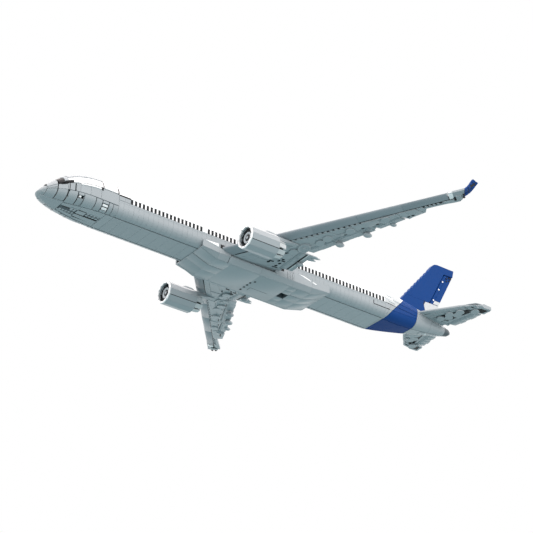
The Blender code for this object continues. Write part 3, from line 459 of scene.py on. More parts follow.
def grown(stock, tree, material, **sizes):
    """The plain mesh that a node tree makes of a stock piece."""
    obj = bpy.data.objects.new("course", stock.mesh("course") if isinstance(stock, Stock) else stock)
    modifier = obj.modifiers.new("nodes", "NODES")
    modifier.node_group = tree
    values = {**sizes, "Material": material}
    for item in tree.interface.items_tree:
        if item.in_out == "INPUT" and item.name in values:
            modifier[item.identifier] = values[item.name]
    bpy.context.scene.collection.objects.link(obj)
    graph = bpy.context.evaluated_depsgraph_get()
    graph.update()
    made = bpy.data.meshes.new_from_object(obj.evaluated_get(graph))
    obj.modifiers.remove(modifier)
    bpy.data.objects.remove(obj)
    return made


def piece(name, stock, materials, body="airframe", nodes=()):
    """Finish a gathered mesh as one piece that rides on a body and stands for CAD nodes."""
    mesh = stock.mesh(name)
    for material in materials:
        mesh.materials.append(material)
    obj = bpy.data.objects.new(name, mesh)
    bpy.context.scene.collection.objects.link(obj)
    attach(obj, body)
    if nodes:
        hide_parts(*nodes)
    return obj


def courses(stock, draw, start, end, pitch, material, seed):
    """A course of plates that draw makes for its first span, repeated to the end of the row."""
    spans = spread(start, end, pitch)
    first = Stock(seed, stock.hand)
    draw(first, *spans[0])
    step = (spans[0][1] - spans[0][0]) * MM
    stock.take(grown(first, ROW, material, Count=len(spans), Step=(step, 0.0, 0.0), Play=PLAY, Seed=seed))


def studded(stock, points, shape, material, seed=3):
    """Small pieces set on points that are given as (place, facing)."""
    mesh = bpy.data.meshes.new("stud_places")
    places = [spot((x, y * stock.hand, z)) for (x, y, z), _ in points]
    mesh.from_pydata(places, [], [])
    facing = mesh.attributes.new("facing", "FLOAT_VECTOR", "POINT")
    for item, (_, (x, y, z)) in zip(facing.data, points):
        item.vector = (x, y * stock.hand, z)
    stock.take(grown(mesh, POINTS, material, Piece=shape, Seed=seed))


def small_shape(name, draw):
    """A small piece at the origin, to be set on points."""
    stock = Stock(5)
    draw(stock)
    mesh = stock.mesh(name)
    mesh.transform(Matrix.Translation(-spot((0, 0, 0))))
    return bpy.data.objects.new(name, mesh)


def draw_pin(stock):
    stock.turned((0, 0, -0.4), (0, 0, 1), ((0, 1.5), (1.1, 1.5), (1.3, 1.25)), 10)


def draw_disc(stock):
    stock.turned((0, 0, -0.5), (0, 0, 1), ((0, 6.2), (1.7, 6.8), (2.2, 6.8), (2.5, 6.3)), 10, False)


PIN = small_shape("pin_end", draw_pin)
DISC = small_shape("round_plate", draw_disc)


# Fuselage skin: one section rule for the nose, the barrel and the tail

LOW_SHARE = (-BELLY - HALF_BELT) / (CROWN - BELLY)
HIGH_SHARE = (-BELLY + HALF_BELT) / (CROWN - BELLY)


def section(x):
    """Half-width, belly, crown and how round the lower corner is, at a station."""
    if x < NOSE_LENGTH:
        widening = 1 - max(0, 1 - x / WIDENING_LENGTH) ** 2.4
        chin = 1 - max(0, 1 - x / CHIN_LENGTH) ** 2.4
        brow = 1 - max(0, 1 - x / BROW_LENGTH) ** 2.2
        width = HALF_WIDTH * math.sqrt(widening)
        belly = blend(NOSE_TIP, BELLY, math.sqrt(chin))
        crown = blend(NOSE_TIP, CROWN, brow ** 0.9)
        return width, belly, crown, (1 - x / NOSE_LENGTH) ** 2
    share = max(0, (x - BARREL_END) / TAIL_LENGTH)
    return (blend(HALF_WIDTH, TAIL_HALF_WIDTH, share ** 1.1), blend(BELLY, 0, share ** 1.4),
            blend(CROWN, TAIL_CROWN, share ** 2), share)


def skin(x, t):
    """Outer skin: t is 0 belly, 1 belly edge, 2 side, 3 to 4 belt, 5 crown, and negative to port."""
    x = max(0.05, x)
    hand = 1 if t >= 0 else -1
    t = abs(t)
    if t > 5:
        t = 10 - t
        hand = -hand
    width, belly, crown, roundness = section(x)
    low = blend(belly, crown, LOW_SHARE)
    high = blend(belly, crown, HIGH_SHARE)
    corner = width * blend(CORNER / HALF_WIDTH, 0.9, roundness)
    rise = (low - belly) * blend(CORNER / SIDE_HEIGHT, 0.95, roundness)
    if t <= 1:
        return Vector((x, hand * t * (width - corner), belly))
    if t <= 2:
        angle = (t - 1) * math.pi / 2
        return Vector((x, hand * (width - corner * (1 - math.sin(angle))),
                       belly + rise * (1 - math.cos(angle))))
    if t <= 3:
        return Vector((x, hand * width, blend(belly + rise, low, t - 2)))
    if t <= 4:
        return Vector((x, hand * width, blend(low, high, t - 3)))
    angle = (t - 4) * math.pi / 2
    return Vector((x, hand * width * math.cos(angle), blend(high, crown, math.sin(angle))))


def skin_ring(stock, x_range, places, steps, gap=SEAM, lift=0.0):
    """Plates between two stations, each over its own span of places round the skin."""
    for t_range in places:
        stock.patch(skin, x_range, t_range, steps, gap=gap, lift=lift)


def side_course(stock, x0, x1, foot=1.07, foot_steps=9):
    stock.patch(skin, (x0, x1), (foot, 2.72), (1, foot_steps), bevel=0.14, gap=0.04)
    stock.patch(skin, (x0, x1), (2.72, 2.985), (1, 1), bevel=0.14, gap=0.04)


def short_side_course(stock, x0, x1):
    """A side course that stops above the wing root."""
    side_course(stock, x0, x1, 2.05, 2)


def belly_course(stock, x0, x1):
    stock.patch(skin, (x0, x1), (-0.97, 0.97), (1, 2), bevel=0.12, gap=0.05)


def roof_course(stock, x0, x1):
    places = (4.0, 4.3, 4.62, 5.0, 5.38, 5.7, 6.0)
    for t_range in zip(places, places[1:]):
        stock.patch(skin, (x0, x1), t_range, (1, 3), bevel=0.15, gap=0.03)


def upright(x0, x1, z0, z1):
    """Corners of an upright rectangle, as (station, height)."""
    return [(x0, z0), (x1, z0), (x1, z1), (x0, z1)]


def window_course(stock, x0, x1):
    """The white plate between two windows."""
    stock.slab(upright(x0, x1, BELT_FOOT, WINDOW_HEAD), BELT_INNER, HALF_WIDTH, 0.12)


def window_pane(stock, x0, x1):
    stock.slab(upright(x0, x1, -3.8, WINDOW_HEAD), 30.5, 31.85, 0.08)


def window_rail(stock, x0, x1):
    """The thin rail over the windows."""
    stock.slab(upright(x0, x1, WINDOW_HEAD, 3.97), BELT_INNER, HALF_WIDTH, 0.08, 0.02)


def barrel():
    """Roof, belly and side plates of both barrel halves, with room for the wing, and the window bands."""
    for part, fore, aft in (("front", NOSE_LENGTH, BARREL_JOINT), ("rear", BARREL_JOINT, BARREL_END)):
        roof = Stock(11)
        courses(roof, roof_course, fore + 0.1, aft - 0.1, 16, WHITE, 12)
        piece("roof_tiles_" + part, roof, [WHITE], nodes=["roof_" + part])
        belly = Stock(13)
        if part == "front":
            courses(belly, belly_course, fore, NOTCH_START, 16, GREY, 14)
        else:
            courses(belly, belly_course, NOTCH_END, aft, 16, GREY, 15)
        piece("belly_plates_" + part, belly, [GREY], nodes=["belly_panel_" + part])
        for side, hand in SIDES.items():
            wall = Stock(16, hand)
            if part == "front":
                courses(wall, side_course, fore, NOTCH_START, 8, GREY, 17)
                courses(wall, short_side_course, NOTCH_START, aft, 8, GREY, 18)
            else:
                courses(wall, short_side_course, fore, NOTCH_END, 8, GREY, 19)
                courses(wall, side_course, NOTCH_END, aft, 8, GREY, 20)
                wall.paint = 1
                wall.patch(skin, (560, 582.6), (1.97, 2.06), (2, 1), 1.0, 0.08, 0, lift=0.2)
                wall.patch(skin, (559, 560.2), (2.0, 2.6), (1, 2), 1.0, 0.08, 0, lift=0.2)
            place = part + "_" + side
            piece("side_plates_" + place, wall, [GREY, BLACK], nodes=["side_panel_" + place])
    for side, hand in SIDES.items():
        window_band(side, hand)


def window_band(side, hand):
    """White plates with black panes between them, and a grey block with a black slot ahead of the first."""
    band = Stock(21, hand)
    half = WINDOW_PITCH * PANE_SHARE
    step = (WINDOW_PITCH * MM, 0.0, 0.0)
    last = FIRST_WINDOW + (WINDOW_COUNT - 1) * WINDOW_PITCH
    post = Stock(22, hand)
    window_course(post, FIRST_WINDOW + half, FIRST_WINDOW + WINDOW_PITCH - half)
    band.take(grown(post, ROW, WHITE, Count=WINDOW_COUNT - 1, Step=step, Play=PLAY, Seed=23))
    door = FIRST_WINDOW + DOOR_WINDOW * WINDOW_PITCH
    window_course(band, door - half, door + half)
    for x0, x1 in spread(last + half, BARREL_END - 0.2, 2):
        window_course(band, x0, x1)
    for x0, x1 in spread(FIRST_WINDOW - half, BARREL_END - 0.2, 64):
        window_rail(band, x0, x1)
    band.paint = 1
    for x0, x1 in spread(NOSE_LENGTH + 0.2, FIRST_WINDOW - half, 10):
        band.slab(upright(x0, x1, BELT_FOOT, 2.6), BELT_INNER, HALF_WIDTH, 0.15, 0.05)
    band.paint = 2
    pane = Stock(24, hand)
    window_pane(pane, FIRST_WINDOW - half, FIRST_WINDOW + half)
    band.take(grown(pane, ROW, BLACK, Count=WINDOW_COUNT, Step=step, Play=0.0, Seed=25))
    band.slab(upright(111, 128.6, 2.7, 4.7), 30.8, 32.1, 0.1)
    piece("window_plates_" + side, band, [WHITE, GREY, BLACK], nodes=["window_band_" + side])


# Nose

def nose_cone():
    """Pointed tip, a ring of plates behind it, the jaw plate and the front of the windscreen."""
    stock = Stock(31)
    rings = []
    for x in (0.3, 1.2, 3.0, 5.5, 8.0):
        rings.append([skin(x, blend(-5, 5, i / 20)) for i in range(20)])
    stock.loft(rings, True)
    places = (-1, 1, 2, 3, 4, 5, 6, 7, 8, 9)
    skin_ring(stock, (8.1, 20.5), zip(places, places[1:]), (3, 3), 0.2)
    cheeks = ((-1.15, 1.15), (1.15, 2.0), (2.0, 3.95), (6.05, 8.0), (8.0, 8.85))
    skin_ring(stock, (21.3, 34), cheeks, (4, 4), 0.2)
    brow = ((4.14, 4.5), (4.5, 5.0), (5.0, 5.5), (5.5, 5.86))
    skin_ring(stock, (29, 34.1), brow, (2, 3), lift=0.4)
    stock.patch(skin, (5.5, 35.4), (-1.1, 1.1), (9, 6), 1.6, lift=0.5)
    stock.paint = 1
    panes = ((4.05, 4.5), (4.5, 5.0), (5.0, 5.5), (5.5, 5.95))
    skin_ring(stock, (21.6, 29), panes, (3, 3), 0.25, -0.4)
    for t in (4.4, 5.5):
        stock.patch(skin, (6.4, 8.6), (t, t + 0.14), (1, 1), 1.0, 0.1, lift=0.4)
    for t in (3.7, 6.0):
        stock.patch(skin, (24.6, 33), (t, t + 0.3), (2, 1), 1.0, 0.1, lift=0.3)
    piece("nose_cone_plates", stock, [GREY, BLACK], nodes=["radome"])


# Plates of the nose's side in each paint: stations, places round the skin, steps, gap and lift
NOSE_SIDE_PLATES = (
    (((34, 43.4), (2.08, 3.97), (4, 5), 0.12, 0),
     ((44.9, 51), (2.08, 3.97), (4, 5), 0.12, 0),
     ((82, 110), (2.08, 3.97), (4, 5), 0.12, 0),
     ((51, 66), (2.08, 3.66), (4, 5), 0.08, 0),
     ((66, 82), (2.08, 3.66), (4, 5), 0.08, 0),
     ((35.4, 48), (1.04, 2.0), (4, 6), 0.15, 0),
     ((49, 57), (1.04, 1.6), (3, 6), 0.25, 0),
     ((49, 57), (1.8, 2.0), (3, 3), 0.15, 0),
     ((57, 74.6), (1.04, 2.0), (5, 6), 0.2, 0.3),
     ((75.4, 84.6), (1.04, 2.0), (3, 6), 0.2, 0),
     ((85.4, 94.6), (1.04, 1.26), (2, 3), 0.2, 0),
     ((85.4, 94.6), (1.8, 2.0), (2, 3), 0.2, 0),
     ((95.4, 101.5), (1.04, 2.0), (2, 6), 0.2, 0),
     ((102, 110), (1.04, 2.0), (2, 6), 0.15, 0)),
    (((86, 94.2), (1.29, 1.5), (2, 3), 0.3, -0.4),
     ((86, 94.2), (1.55, 1.76), (2, 3), 0.3, -0.4),
     ((50, 53.4), (1.63, 1.77), (1, 2), 0.2, 0.2),
     ((51.2, 81.6), (3.68, 3.99), (4, 2), 0.1, 0.6)),
    (((82.2, 84.4), (3.6, 4.03), (1, 2), 0.0, 0.8),))


def nose_sides():
    """Side plates of the nose, with a white slab under the brow and two black seams."""
    for side, hand in SIDES.items():
        stock = Stock(32, hand)
        for paint, plates in enumerate(NOSE_SIDE_PLATES):
            stock.paint = paint
            for x_range, t_range, steps, gap, lift in plates:
                stock.patch(skin, x_range, t_range, steps, gap=gap, lift=lift)
        stock.patch(skin, (35.4, 36.6), (1.5, 3.9), (1, 6), 1.2, 0.1, lift=0.15)
        stock.patch(skin, (57.2, 58.0), (1.1, 1.9), (1, 4), 1.2, 0.1, lift=0.45)
        piece("nose_side_plates_" + side, stock, [GREY, WHITE, BLACK], nodes=["nose_side_" + side])


def nose_underside():
    """Chin plates round the open nose-wheel bay, with its slots, small blocks and hatches."""
    stock = Stock(33)
    for t0, t1 in ((-0.98, -0.36), (0.62, 0.98)):
        for x0, x1 in ((36, 62), (62, 98)):
            stock.patch(skin, (x0, x1), (t0, t1), (4, 2))
    stock.patch(skin, (98.2, 110), (-0.98, 0.98), (2, 3))
    piece("chin_plates", stock, [GREY], nodes=["chin_panel"])
    cover = Stock(34)
    floor = BELLY + 0.9
    cover.paint = 2
    cover.block((36.4, -8.6, floor), (98, 13.6, floor + 1.6))
    cover.paint = 0
    for x0, x1, y0, y1 in ((62, 97.6, 4.4, 12.6), (62, 75, -8.4, 2.4), (96.6, 97.8, -8.4, 4.2)):
        cover.plate([(x0, y0, BELLY), (x1, y0, BELLY), (x1, y1, BELLY), (x0, y1, BELLY)], (0, 0, -1), 2.6)
    for x0, x1 in spread(38, 61.4, 4.7):
        for y0 in (3.4, 8.2):
            cover.block((x0 + 0.7, y0, BELLY + 0.1), (x1 - 0.7, y0 + 3.6, floor + 0.4), 0.15)
    for x0, x1 in spread(76, 96, 5):
        for y0 in (-7.6, -2.6):
            cover.block((x0 + 0.6, y0, BELLY - 0.3), (x1 - 0.8, y0 + 3.2, floor + 0.4), 0.15)
    for x in (51.5, 56.0):
        cover.block((x, -7.4, BELLY - 0.6), (x + 3.4, -0.4, floor + 0.4), 0.2)
    cover.paint = 1
    cover.block((39.5, -7.6, floor - 0.3), (50.6, -1.4, floor + 0.4), 0.1)
    cover.block((60.5, 2.5, floor - 0.5), (97.6, 4.3, floor + 0.4), 0.1)
    piece("nose_bay_doors", cover, [GREY, BLACK, SLATE], nodes=["nose_bay_cover"])


def cockpit():
    """Black panes in front, white rows beside a raised grey brow, and a white roof behind it."""
    middle = ((4.34, 4.66), (4.66, 5.34), (5.34, 5.66))
    glass = Stock(35)
    skin_ring(glass, (30, 41), ((4.02, 4.16), (5.84, 5.98)), (3, 2), 0.05)
    glass.paint = 1
    skin_ring(glass, (41, 59.8), ((4.02, 4.34), (5.66, 5.98)), (4, 3))
    skin_ring(glass, (34.2, 41), ((4.16, 4.34), (5.66, 5.84)), (3, 3))
    glass.paint = 2
    skin_ring(glass, (34.2, 59.9), middle, (5, 4), 0.06, 0.9)
    piece("windscreen_panes", glass, [BLACK, WHITE, GREY], nodes=["cockpit_glazing"])
    roof = Stock(36)
    for t_range in ((4.03, 4.34), (5.66, 5.97)):
        for x_range in ((60.2, 84.8), (85.6, 108.4)):
            roof.patch(skin, x_range, t_range, (4, 3))
    skin_ring(roof, (85.6, 108.4), middle, (3, 4))
    roof.paint = 1
    skin_ring(roof, (60.1, 84.4), middle, (4, 4), 0.06, 0.8)
    roof.paint = 2
    for t_range in ((4.03, 4.36), (4.36, 5.0), (5.0, 5.64), (5.64, 5.97)):
        roof.patch(skin, (84.5, 85.6), t_range, (1, 4), gap=0.0, lift=0.5)
        roof.patch(skin, (108.6, 109.6), t_range, (1, 4), gap=0.0, lift=0.1)
    piece("cockpit_roof_plates", roof, [WHITE, GREY, BLACK], nodes=["cockpit_roof"])


# Belly fairing

FLOOR_HALF = 28.5
SOCKET_HALF = 6.7
SOCKET_INNER = 5.9
SOCKET_FRONT = 405.3
SOCKET_REAR = 418.7
FAIRING_RUN = ((248, 0.06), (275, 1), (440, 1), (474, 0.06))
CEILING = BELLY - 0.3


def fairing_floor(x, y):
    return Vector((x, y, blend(CEILING, -FAIRING_DEPTH, along(FAIRING_RUN, x))))


def fairing_wall(x, s):
    """Side of the fairing: s is 0 keel, 1 chine, 2 hip and 3 upper edge."""
    depth = along(FAIRING_RUN, x)
    bottom = blend(CEILING, -FAIRING_DEPTH, depth)
    outer = blend(32.3, 36.5, blend(0.35, 1, depth))
    hip = blend(bottom, CEILING, 0.6)
    chine = blend(28.8, outer, 0.3)
    y = along(((0, 28.8), (1, chine), (2, outer), (3, outer)), s)
    z = along(((0, bottom), (1, bottom), (2, hip), (3, -16.2)), s)
    return Vector((x, y, z))


def fairing_heart(point):
    return Vector((point.x, 0, -20))


def floor_plate(stock, x_range, y_range, bevel=0.06, gap=0.02):
    stock.patch(fairing_floor, x_range, y_range, (1, 1), 2.4, bevel, gap, fairing_heart)


def wall_plate(stock, x_range, s_range, depth=2.0, bevel=EDGE, gap=SEAM, lift=0.0):
    stock.patch(fairing_wall, x_range, s_range, (1, 1), depth, bevel, gap, fairing_heart, lift)


def belly_fairing():
    """Floor plates round the stand socket, small black squares and slots, and the plated sides."""
    stock = Stock(41)
    for x0, x1, seam in ((248.2, 275, 1.1), (275, 300, 1.1), (SOCKET_REAR, 440, 0.9), (440, 473.8, 0.9)):
        for y_range in ((-FLOOR_HALF, -8 - seam), (-8, 8), (8, FLOOR_HALF)):
            floor_plate(stock, (x0, x1), y_range)
    for x_range in ((300, 352), (352, SOCKET_FRONT)):
        floor_plate(stock, x_range, (-FLOOR_HALF, FLOOR_HALF))
    for y_range in ((-FLOOR_HALF, -17), (-17, -SOCKET_HALF), (SOCKET_HALF, 17), (17, FLOOR_HALF)):
        floor_plate(stock, (SOCKET_FRONT, SOCKET_REAR), y_range, 0.12, 0.04)
    stock.paint = 1
    for x, y in ((353, 20.8), (353, 12.4), (353, 4.9), (353, -2.6), (356.7, -9)):
        stock.block((x - 1.6, y - 1.7, -37.3), (x + 1.6, y + 1.7, -36.2), 0.1)
    for x1, y0, y1 in ((361.7, 9, 17), (392, 8.4, 9)):
        stock.block((361, y0, -37.26), (x1, y1, -36.4), 0.05)
    stock.paint = 2
    for x0, x1, y0, y1 in ((SOCKET_FRONT, SOCKET_REAR, -SOCKET_HALF, -SOCKET_INNER),
                           (SOCKET_FRONT, SOCKET_REAR, SOCKET_INNER, SOCKET_HALF),
                           (SOCKET_FRONT, 406.1, -SOCKET_INNER, SOCKET_INNER),
                           (417.9, SOCKET_REAR, -SOCKET_INNER, SOCKET_INNER)):
        stock.block((x0, y0, -37.1), (x1, y1, -28.2), 0.1)
    stock.block((SOCKET_FRONT, -SOCKET_HALF, -28.4), (SOCKET_REAR, SOCKET_HALF, -27.2), 0.1)
    piece("fairing_floor_plates", stock, [GREY, BLACK, SLATE], nodes=["fairing_floor"])
    for side, hand in SIDES.items():
        wall = Stock(42, hand)
        for x_range in ((248.2, 275), (275, 292.6), (293.6, 349), (349, 406), (406, 440), (440, 473.8)):
            wall_plate(wall, x_range, (0.02, 1), bevel=0.12, gap=0.05)
            wall_plate(wall, x_range, (1, 2), bevel=0.12, gap=0.05)
        for x_range in ((248.2, 275), (275, 294.6), (373, 393.6), (406, 440), (440, 473.8)):
            wall_plate(wall, x_range, (2, 2.99), bevel=0.14)
        for x_range in spread(294.6, 373, 26):
            wall_plate(wall, x_range, (2, 2.17))
        for x_range in spread(394, 406, 3):
            wall_plate(wall, x_range, (2, 2.8), gap=0.25)
        wall.paint = 1
        for outline in ([(251, 34.6, -16.4), (273, 36.8, -16.4), (273, 36.8, -22)],
                        [(414, 36.8, -16.4), (424, 36.8, -16.4), (449, 36.3, -22), (446, 36.4, -24)]):
            wall.plate(outline, (0, 1, 0), 1.5)
        wall.paint = 2
        for x_range, s0 in (((276, 294), 2.55), ((345, 388), 2.62)):
            wall_plate(wall, x_range, (s0, 2.98), 1.5, 0.1, lift=0.2)
        piece("fairing_side_plates_" + side, wall, [GREY, WHITE, BLACK], nodes=["fairing_side_" + side])


# Wings

WING_ROOT = 32.0
ROOT_FRONT = 275.0
WING_SWEEP = 0.81
ROOT_HEIGHT = -22.2
WING_RISE = 0.177
ROOT_DEPTH = 11.0
TIP_DEPTH = 6.0
PANEL_SPAN = 252.0
PANEL_START = 38.0
PANEL_END = 284.0
KINK = 90.0
WING_DOWN = (0, 0.17, -1)
SPAR = 20.3
STRIP_START = 36.8
STRIP_SPAN = 247.0
COLLAR_SPAN = (285, 289.6)
CHORDS = ((32, 114), (88.3, 75), (177.3, 52.6), (240.8, 34.5), (247.8, 24), (284, 26.3), (310, 26.3))
TRACK_BULBS = (("flap_inboard_", 392.0, 66.0, -21.6, 0.8), ("flap_outboard_", 412.4, 131.0, -12.0, 1.0),
               ("flap_outboard_", 434.6, 165.0, -4.2, 1.0), ("aileron_", 455.6, 197.0, 5.0, 0.75))
REAR_CUTS = ((0, 16.75), (176.3, 16.75), (178.3, 13.75), (216.3, 13.75), (219.3, 0), (400, 0))


def wing_front(y):
    return ROOT_FRONT + (y - WING_ROOT) * WING_SWEEP


def wing_height(y):
    return ROOT_HEIGHT + (y - WING_ROOT) * WING_RISE


def wing_half_depth(y):
    return blend(ROOT_DEPTH, TIP_DEPTH, (y - WING_ROOT) / PANEL_SPAN) / 2


def wing_chord(y):
    return along(CHORDS, y)


def wing_rear(y):
    """Chord of the fixed wing, ahead of its moving surfaces."""
    return wing_chord(y) - along(REAR_CUTS, y)


def wing_face(y, c, side):
    """A point on the wing's underside (-1) or top (1), at a distance behind the front edge."""
    rear = wing_rear(y)
    c = min(c, rear - 0.3)
    crest = blend(SPAR, rear, 0.35)
    share = max(0, (c - crest) / (rear - crest))
    half = blend(wing_half_depth(y), SURFACE_NOSE, share)
    return Vector((wing_front(y) + c, y, wing_height(y) + side * half))


def wing_under(y, c):
    return wing_face(y, c, -1)


def wing_top(y, c):
    return wing_face(y, c, 1)


def wing_heart(point):
    return Vector((point.x, point.y, wing_height(point.y)))


def strip_depth(y):
    """Depth of the rounded strip at the front of the wing, along the chord."""
    return blend(18.5, 13.5, (y - STRIP_START) / STRIP_SPAN)


def leading_edges(side, hand):
    """Rounded strips along the front of the wing in a darker grey that paints their shade, a black web behind
    them and a white collar near the tip.
    """
    stock = Stock(51, hand)
    for y0, y1 in spread(STRIP_START, STRIP_START + STRIP_SPAN, 49) + [COLLAR_SPAN]:
        # Paint 0 is the darker grey that stands in for the shade on the strips.
        stock.paint = 1 if (y0, y1) == COLLAR_SPAN else 0
        proud = 0.5 if stock.paint else 0
        ahead = 0.6 if stock.paint else 0
        loops = []
        for y, pinch in ((y0 + 0.05, 0.15), (y0 + 0.25, 0.0), (y1 - 0.25, 0.0), (y1 - 0.05, 0.15)):
            half = wing_half_depth(y) - pinch + proud
            slant = 0.42 * min(1, (y - STRIP_START) / 80)
            loop = []
            for step in range(17):
                angle = math.pi * (step / 16 - 0.5)
                c = pinch + (strip_depth(y) - 2 * pinch) * (1 - math.cos(angle)) - ahead
                at = y - slant * c
                loop.append(Vector((wing_front(at) + c, at, wing_height(at) + half * math.sin(angle))))
            loops.append(loop)
        stock.loft(loops, True)
    stock.paint = 2
    loops = []
    for y in (PANEL_START, 160, PANEL_END):
        half = wing_half_depth(y) - 0.5
        reach = strip_depth(y) - 0.6
        loops.append([(wing_front(y) + c, y, wing_height(y) + z)
                      for c, z in ((reach, -half), (20.4, -half), (20.4, half), (reach, half))])
    stock.loft(loops)
    piece("leading_edge_strips_" + side, stock, [LEADING_EDGE_PAINTED_SHADE, WHITE, BLACK], nodes=["wing_leading_edge_" + side])


def under_plate(stock, y_range, c_range, lift, bevel=EDGE):
    stock.patch(wing_under, y_range, c_range, (2, 2), lift + 0.4, bevel, heart=wing_heart, lift=lift)


def top_plate(stock, y_range, c_range, lift):
    stock.patch(wing_top, y_range, c_range, (2, 2), lift + 0.4, heart=wing_heart, lift=lift)


# Small black bits under the wing, as (half-span, chord), and black slots with their lengths
BLACK_BITS = ((45, 78), (51, 75), (56, 66), (61, 66), (68, 58), (74, 58), (80, 51), (222, 31), (227, 30.4),
              (188, 30.5), (112, 46), (123, 41), (148, 38), (171, 32), (48, 60), (64, 49))
BLACK_SLOTS = ((42, 78, 9), (52, 58, 7), (66, 62, 8), (76, 48, 7), (58, 70, 6))
ROUND_PLATES = ((131, 36), (160, 30), (203, 23), (72, 58), (84, 50), (118, 44))
DISH = ((-2, 7.0), (-1.8, 9.4), (1.4, 9.4), (1.7, 8.6), (0.9, 6.4), (0.9, 3.0), (2.2, 2.6))
NOTCH_BLOCK = ((216.4, 0), (220, 0), (220, 12.4), (216.4, 12))
FORE_ROW = 28.6        # chord where the plates inboard of the engine change pitch


def wing_plates(side, hand):
    """Plates of several heights under the wing, in bands from root to tip, and a plated top."""
    stock = Stock(52, hand)
    pick = stock.random.choice
    for y0, y1 in spread(PANEL_START, KINK, 17):
        under_plate(stock, (y0, y1), (strip_depth(y1) + 0.9, 28.4), 0.8)
    for y0, y1 in spread(PANEL_START, KINK, 13):
        room = wing_rear((y0 + y1) / 2) - FORE_ROW
        for c_range in spread(FORE_ROW, FORE_ROW + room, 17):
            under_plate(stock, (y0, y1), c_range, pick((0.5, 0.8, 1.1)))
    for y0, y1 in spread(KINK, 180, 18):
        under_plate(stock, (y0, y1), (strip_depth(y0) + 3.4, 33), pick((0.8, 1.2)))
        under_plate(stock, (y0, y1), (33, 45), pick((0.8, 1.2, 1.6)))
        if wing_rear(y0) > 48:
            under_plate(stock, (y0, y1), (45, 70), pick((0.8, 1.1)))
    for y, _ in spread(KINK, 180, 6):
        depth = strip_depth(y)
        under_plate(stock, (y + 0.6, y + 3.8), (depth + 0.4, depth + 3.6), 0.9, 0.1)
    for y0, y1, c, lift in ((180, 197, 40, 1.9), (197, 215, 40, 1.6), (215, 219.2, 26, 1.3),
                            (219.6, 228, 40, 1.3), (228, 240, 40, 1.3)):
        under_plate(stock, (y0, y1), (strip_depth(y0) + 1.2, c), lift)
    for y0, y1, c in ((240.6, 247.4, 15.6), (247.8, 269, 18.6), (269.6, PANEL_END, 15.2)):
        under_plate(stock, (y0, y1), (c, 25.6), 0.7)
    for y in (250.6, 255, 259.4, 263.8):
        under_plate(stock, (y, y + 2.0), (15, 18.4), 0.9, 0.1)
    notch = [surface_point(y, k, FLAP_CHORD, 0) - Vector((0, 0, 1.6)) for y, k in NOTCH_BLOCK]
    stock.plate(notch, WING_DOWN, 3.0)
    stock.paint = 1
    for y, c in BLACK_BITS:
        under_plate(stock, (y, y + 2.6), (c, c + 2.0), 2.0, 0.1)
    for y, c, length in BLACK_SLOTS:
        under_plate(stock, (y, y + 1.1), (c, c + length), 1.6, 0.08)
    under_plate(stock, (40, 87), (17.2, 18.4), 0.5, 0.05)
    stock.paint = 0
    for y0, y1 in spread(PANEL_START, PANEL_END, 16):
        for c_range in spread(strip_depth(y0) + 0.4, wing_rear((y0 + y1) / 2) - 0.3, 16):
            top_plate(stock, (y0, y1), c_range, pick((0.5, 0.6, 0.7)))
    spots = [(wing_under(y, c) - Vector((0, 0, 1.2)), WING_DOWN) for y, c in ROUND_PLATES]
    studded(stock, spots, DISC, GREY)
    stock.turned(wing_under(ENGINE_Y, 46) - Vector((0, 0, 2.2)), WING_DOWN, DISH, 16, False)
    piece("wing_plates_" + side, stock, [GREY, BLACK])


def surface_point(y, k, chord, side):
    """A point on a moving surface, at a half-span and a distance behind its hinge."""
    x = wing_front(y) + wing_chord(y) - chord + k
    return Vector((x, y, wing_height(y) + side * blend(SURFACE_NOSE, SURFACE_TAIL, max(0, k) / chord)))


def moving_plates(side, hand, name, y_range, chord):
    """Plates on both faces of a flap or an aileron, with a stepped trailing edge."""
    stock = Stock(len(name) + 50, hand)
    inboard = name == "flap_inboard_"
    for number, span in enumerate(spread(*y_range, 12)):
        for face in (-1, 1):
            reach = chord + (0.9 if number % 2 else 0.2)
            if inboard and face == -1:
                reach = 8.6

            def surface(y, k):
                return surface_point(y, k, chord, face)

            stock.patch(surface, span, (0.6, reach), (1, 2), 0.9, heart=wing_heart, lift=0.55)
    if inboard:
        slotted_edge(stock, y_range, chord)
    for bulb, station, y, height, size in TRACK_BULBS:
        if bulb == name:
            track_bulb(stock, (station, y, height), size)
    piece(name + "plates_" + side, stock, [GREY, BLACK, PALE_GREY_AND_WHITE_IN_PAINTED_SHADE], name + side)


def slotted_edge(stock, y_range, chord):
    """Black slot, pale strip and grey tail plates along the inboard flap, with two leaf-shaped tips."""
    def surface(y, k):
        return surface_point(y, min(k, chord), chord, -1) + Vector((max(0, k - chord), 0, 0))

    rows = ((1, 8.8, 11.6, 47, 0.3), (2, 11.6, 13.8, 47, 0.9), (0, 13.8, 19.5, 9, 0.6))
    for paint, k0, k1, pitch, lift in rows:
        stock.paint = paint
        for span in spread(*y_range, pitch):
            stock.patch(surface, span, (k0, k1), (1, 1), 1.6, 0.12, heart=wing_heart, lift=lift)
    for y, reach in ((76, 20), (82, 23)):
        base = surface(y, chord) + Vector((0, 0, 0.4))
        leaf = ((-2, -3), (reach * 0.55, -3.6), (reach, 0.4), (reach * 0.6, 3.2), (-2, 3))
        stock.plate([base + Vector((aft, across, 0)) for aft, across in leaf], (0, 0, -1), 1.6)


def track_bulb(stock, centre, size):
    """Rounded flap-track pod that hangs under a moving surface."""
    profile = ((-5.6, 0.8), (-4.8, 2.2), (-2.6, 3.5), (0, 4.1), (4, 3.8), (7, 2.7), (8.6, 1.2))
    stock.turned(centre, (1, 0.1, 0.1), [(a * size, r * size) for a, r in profile], 12)


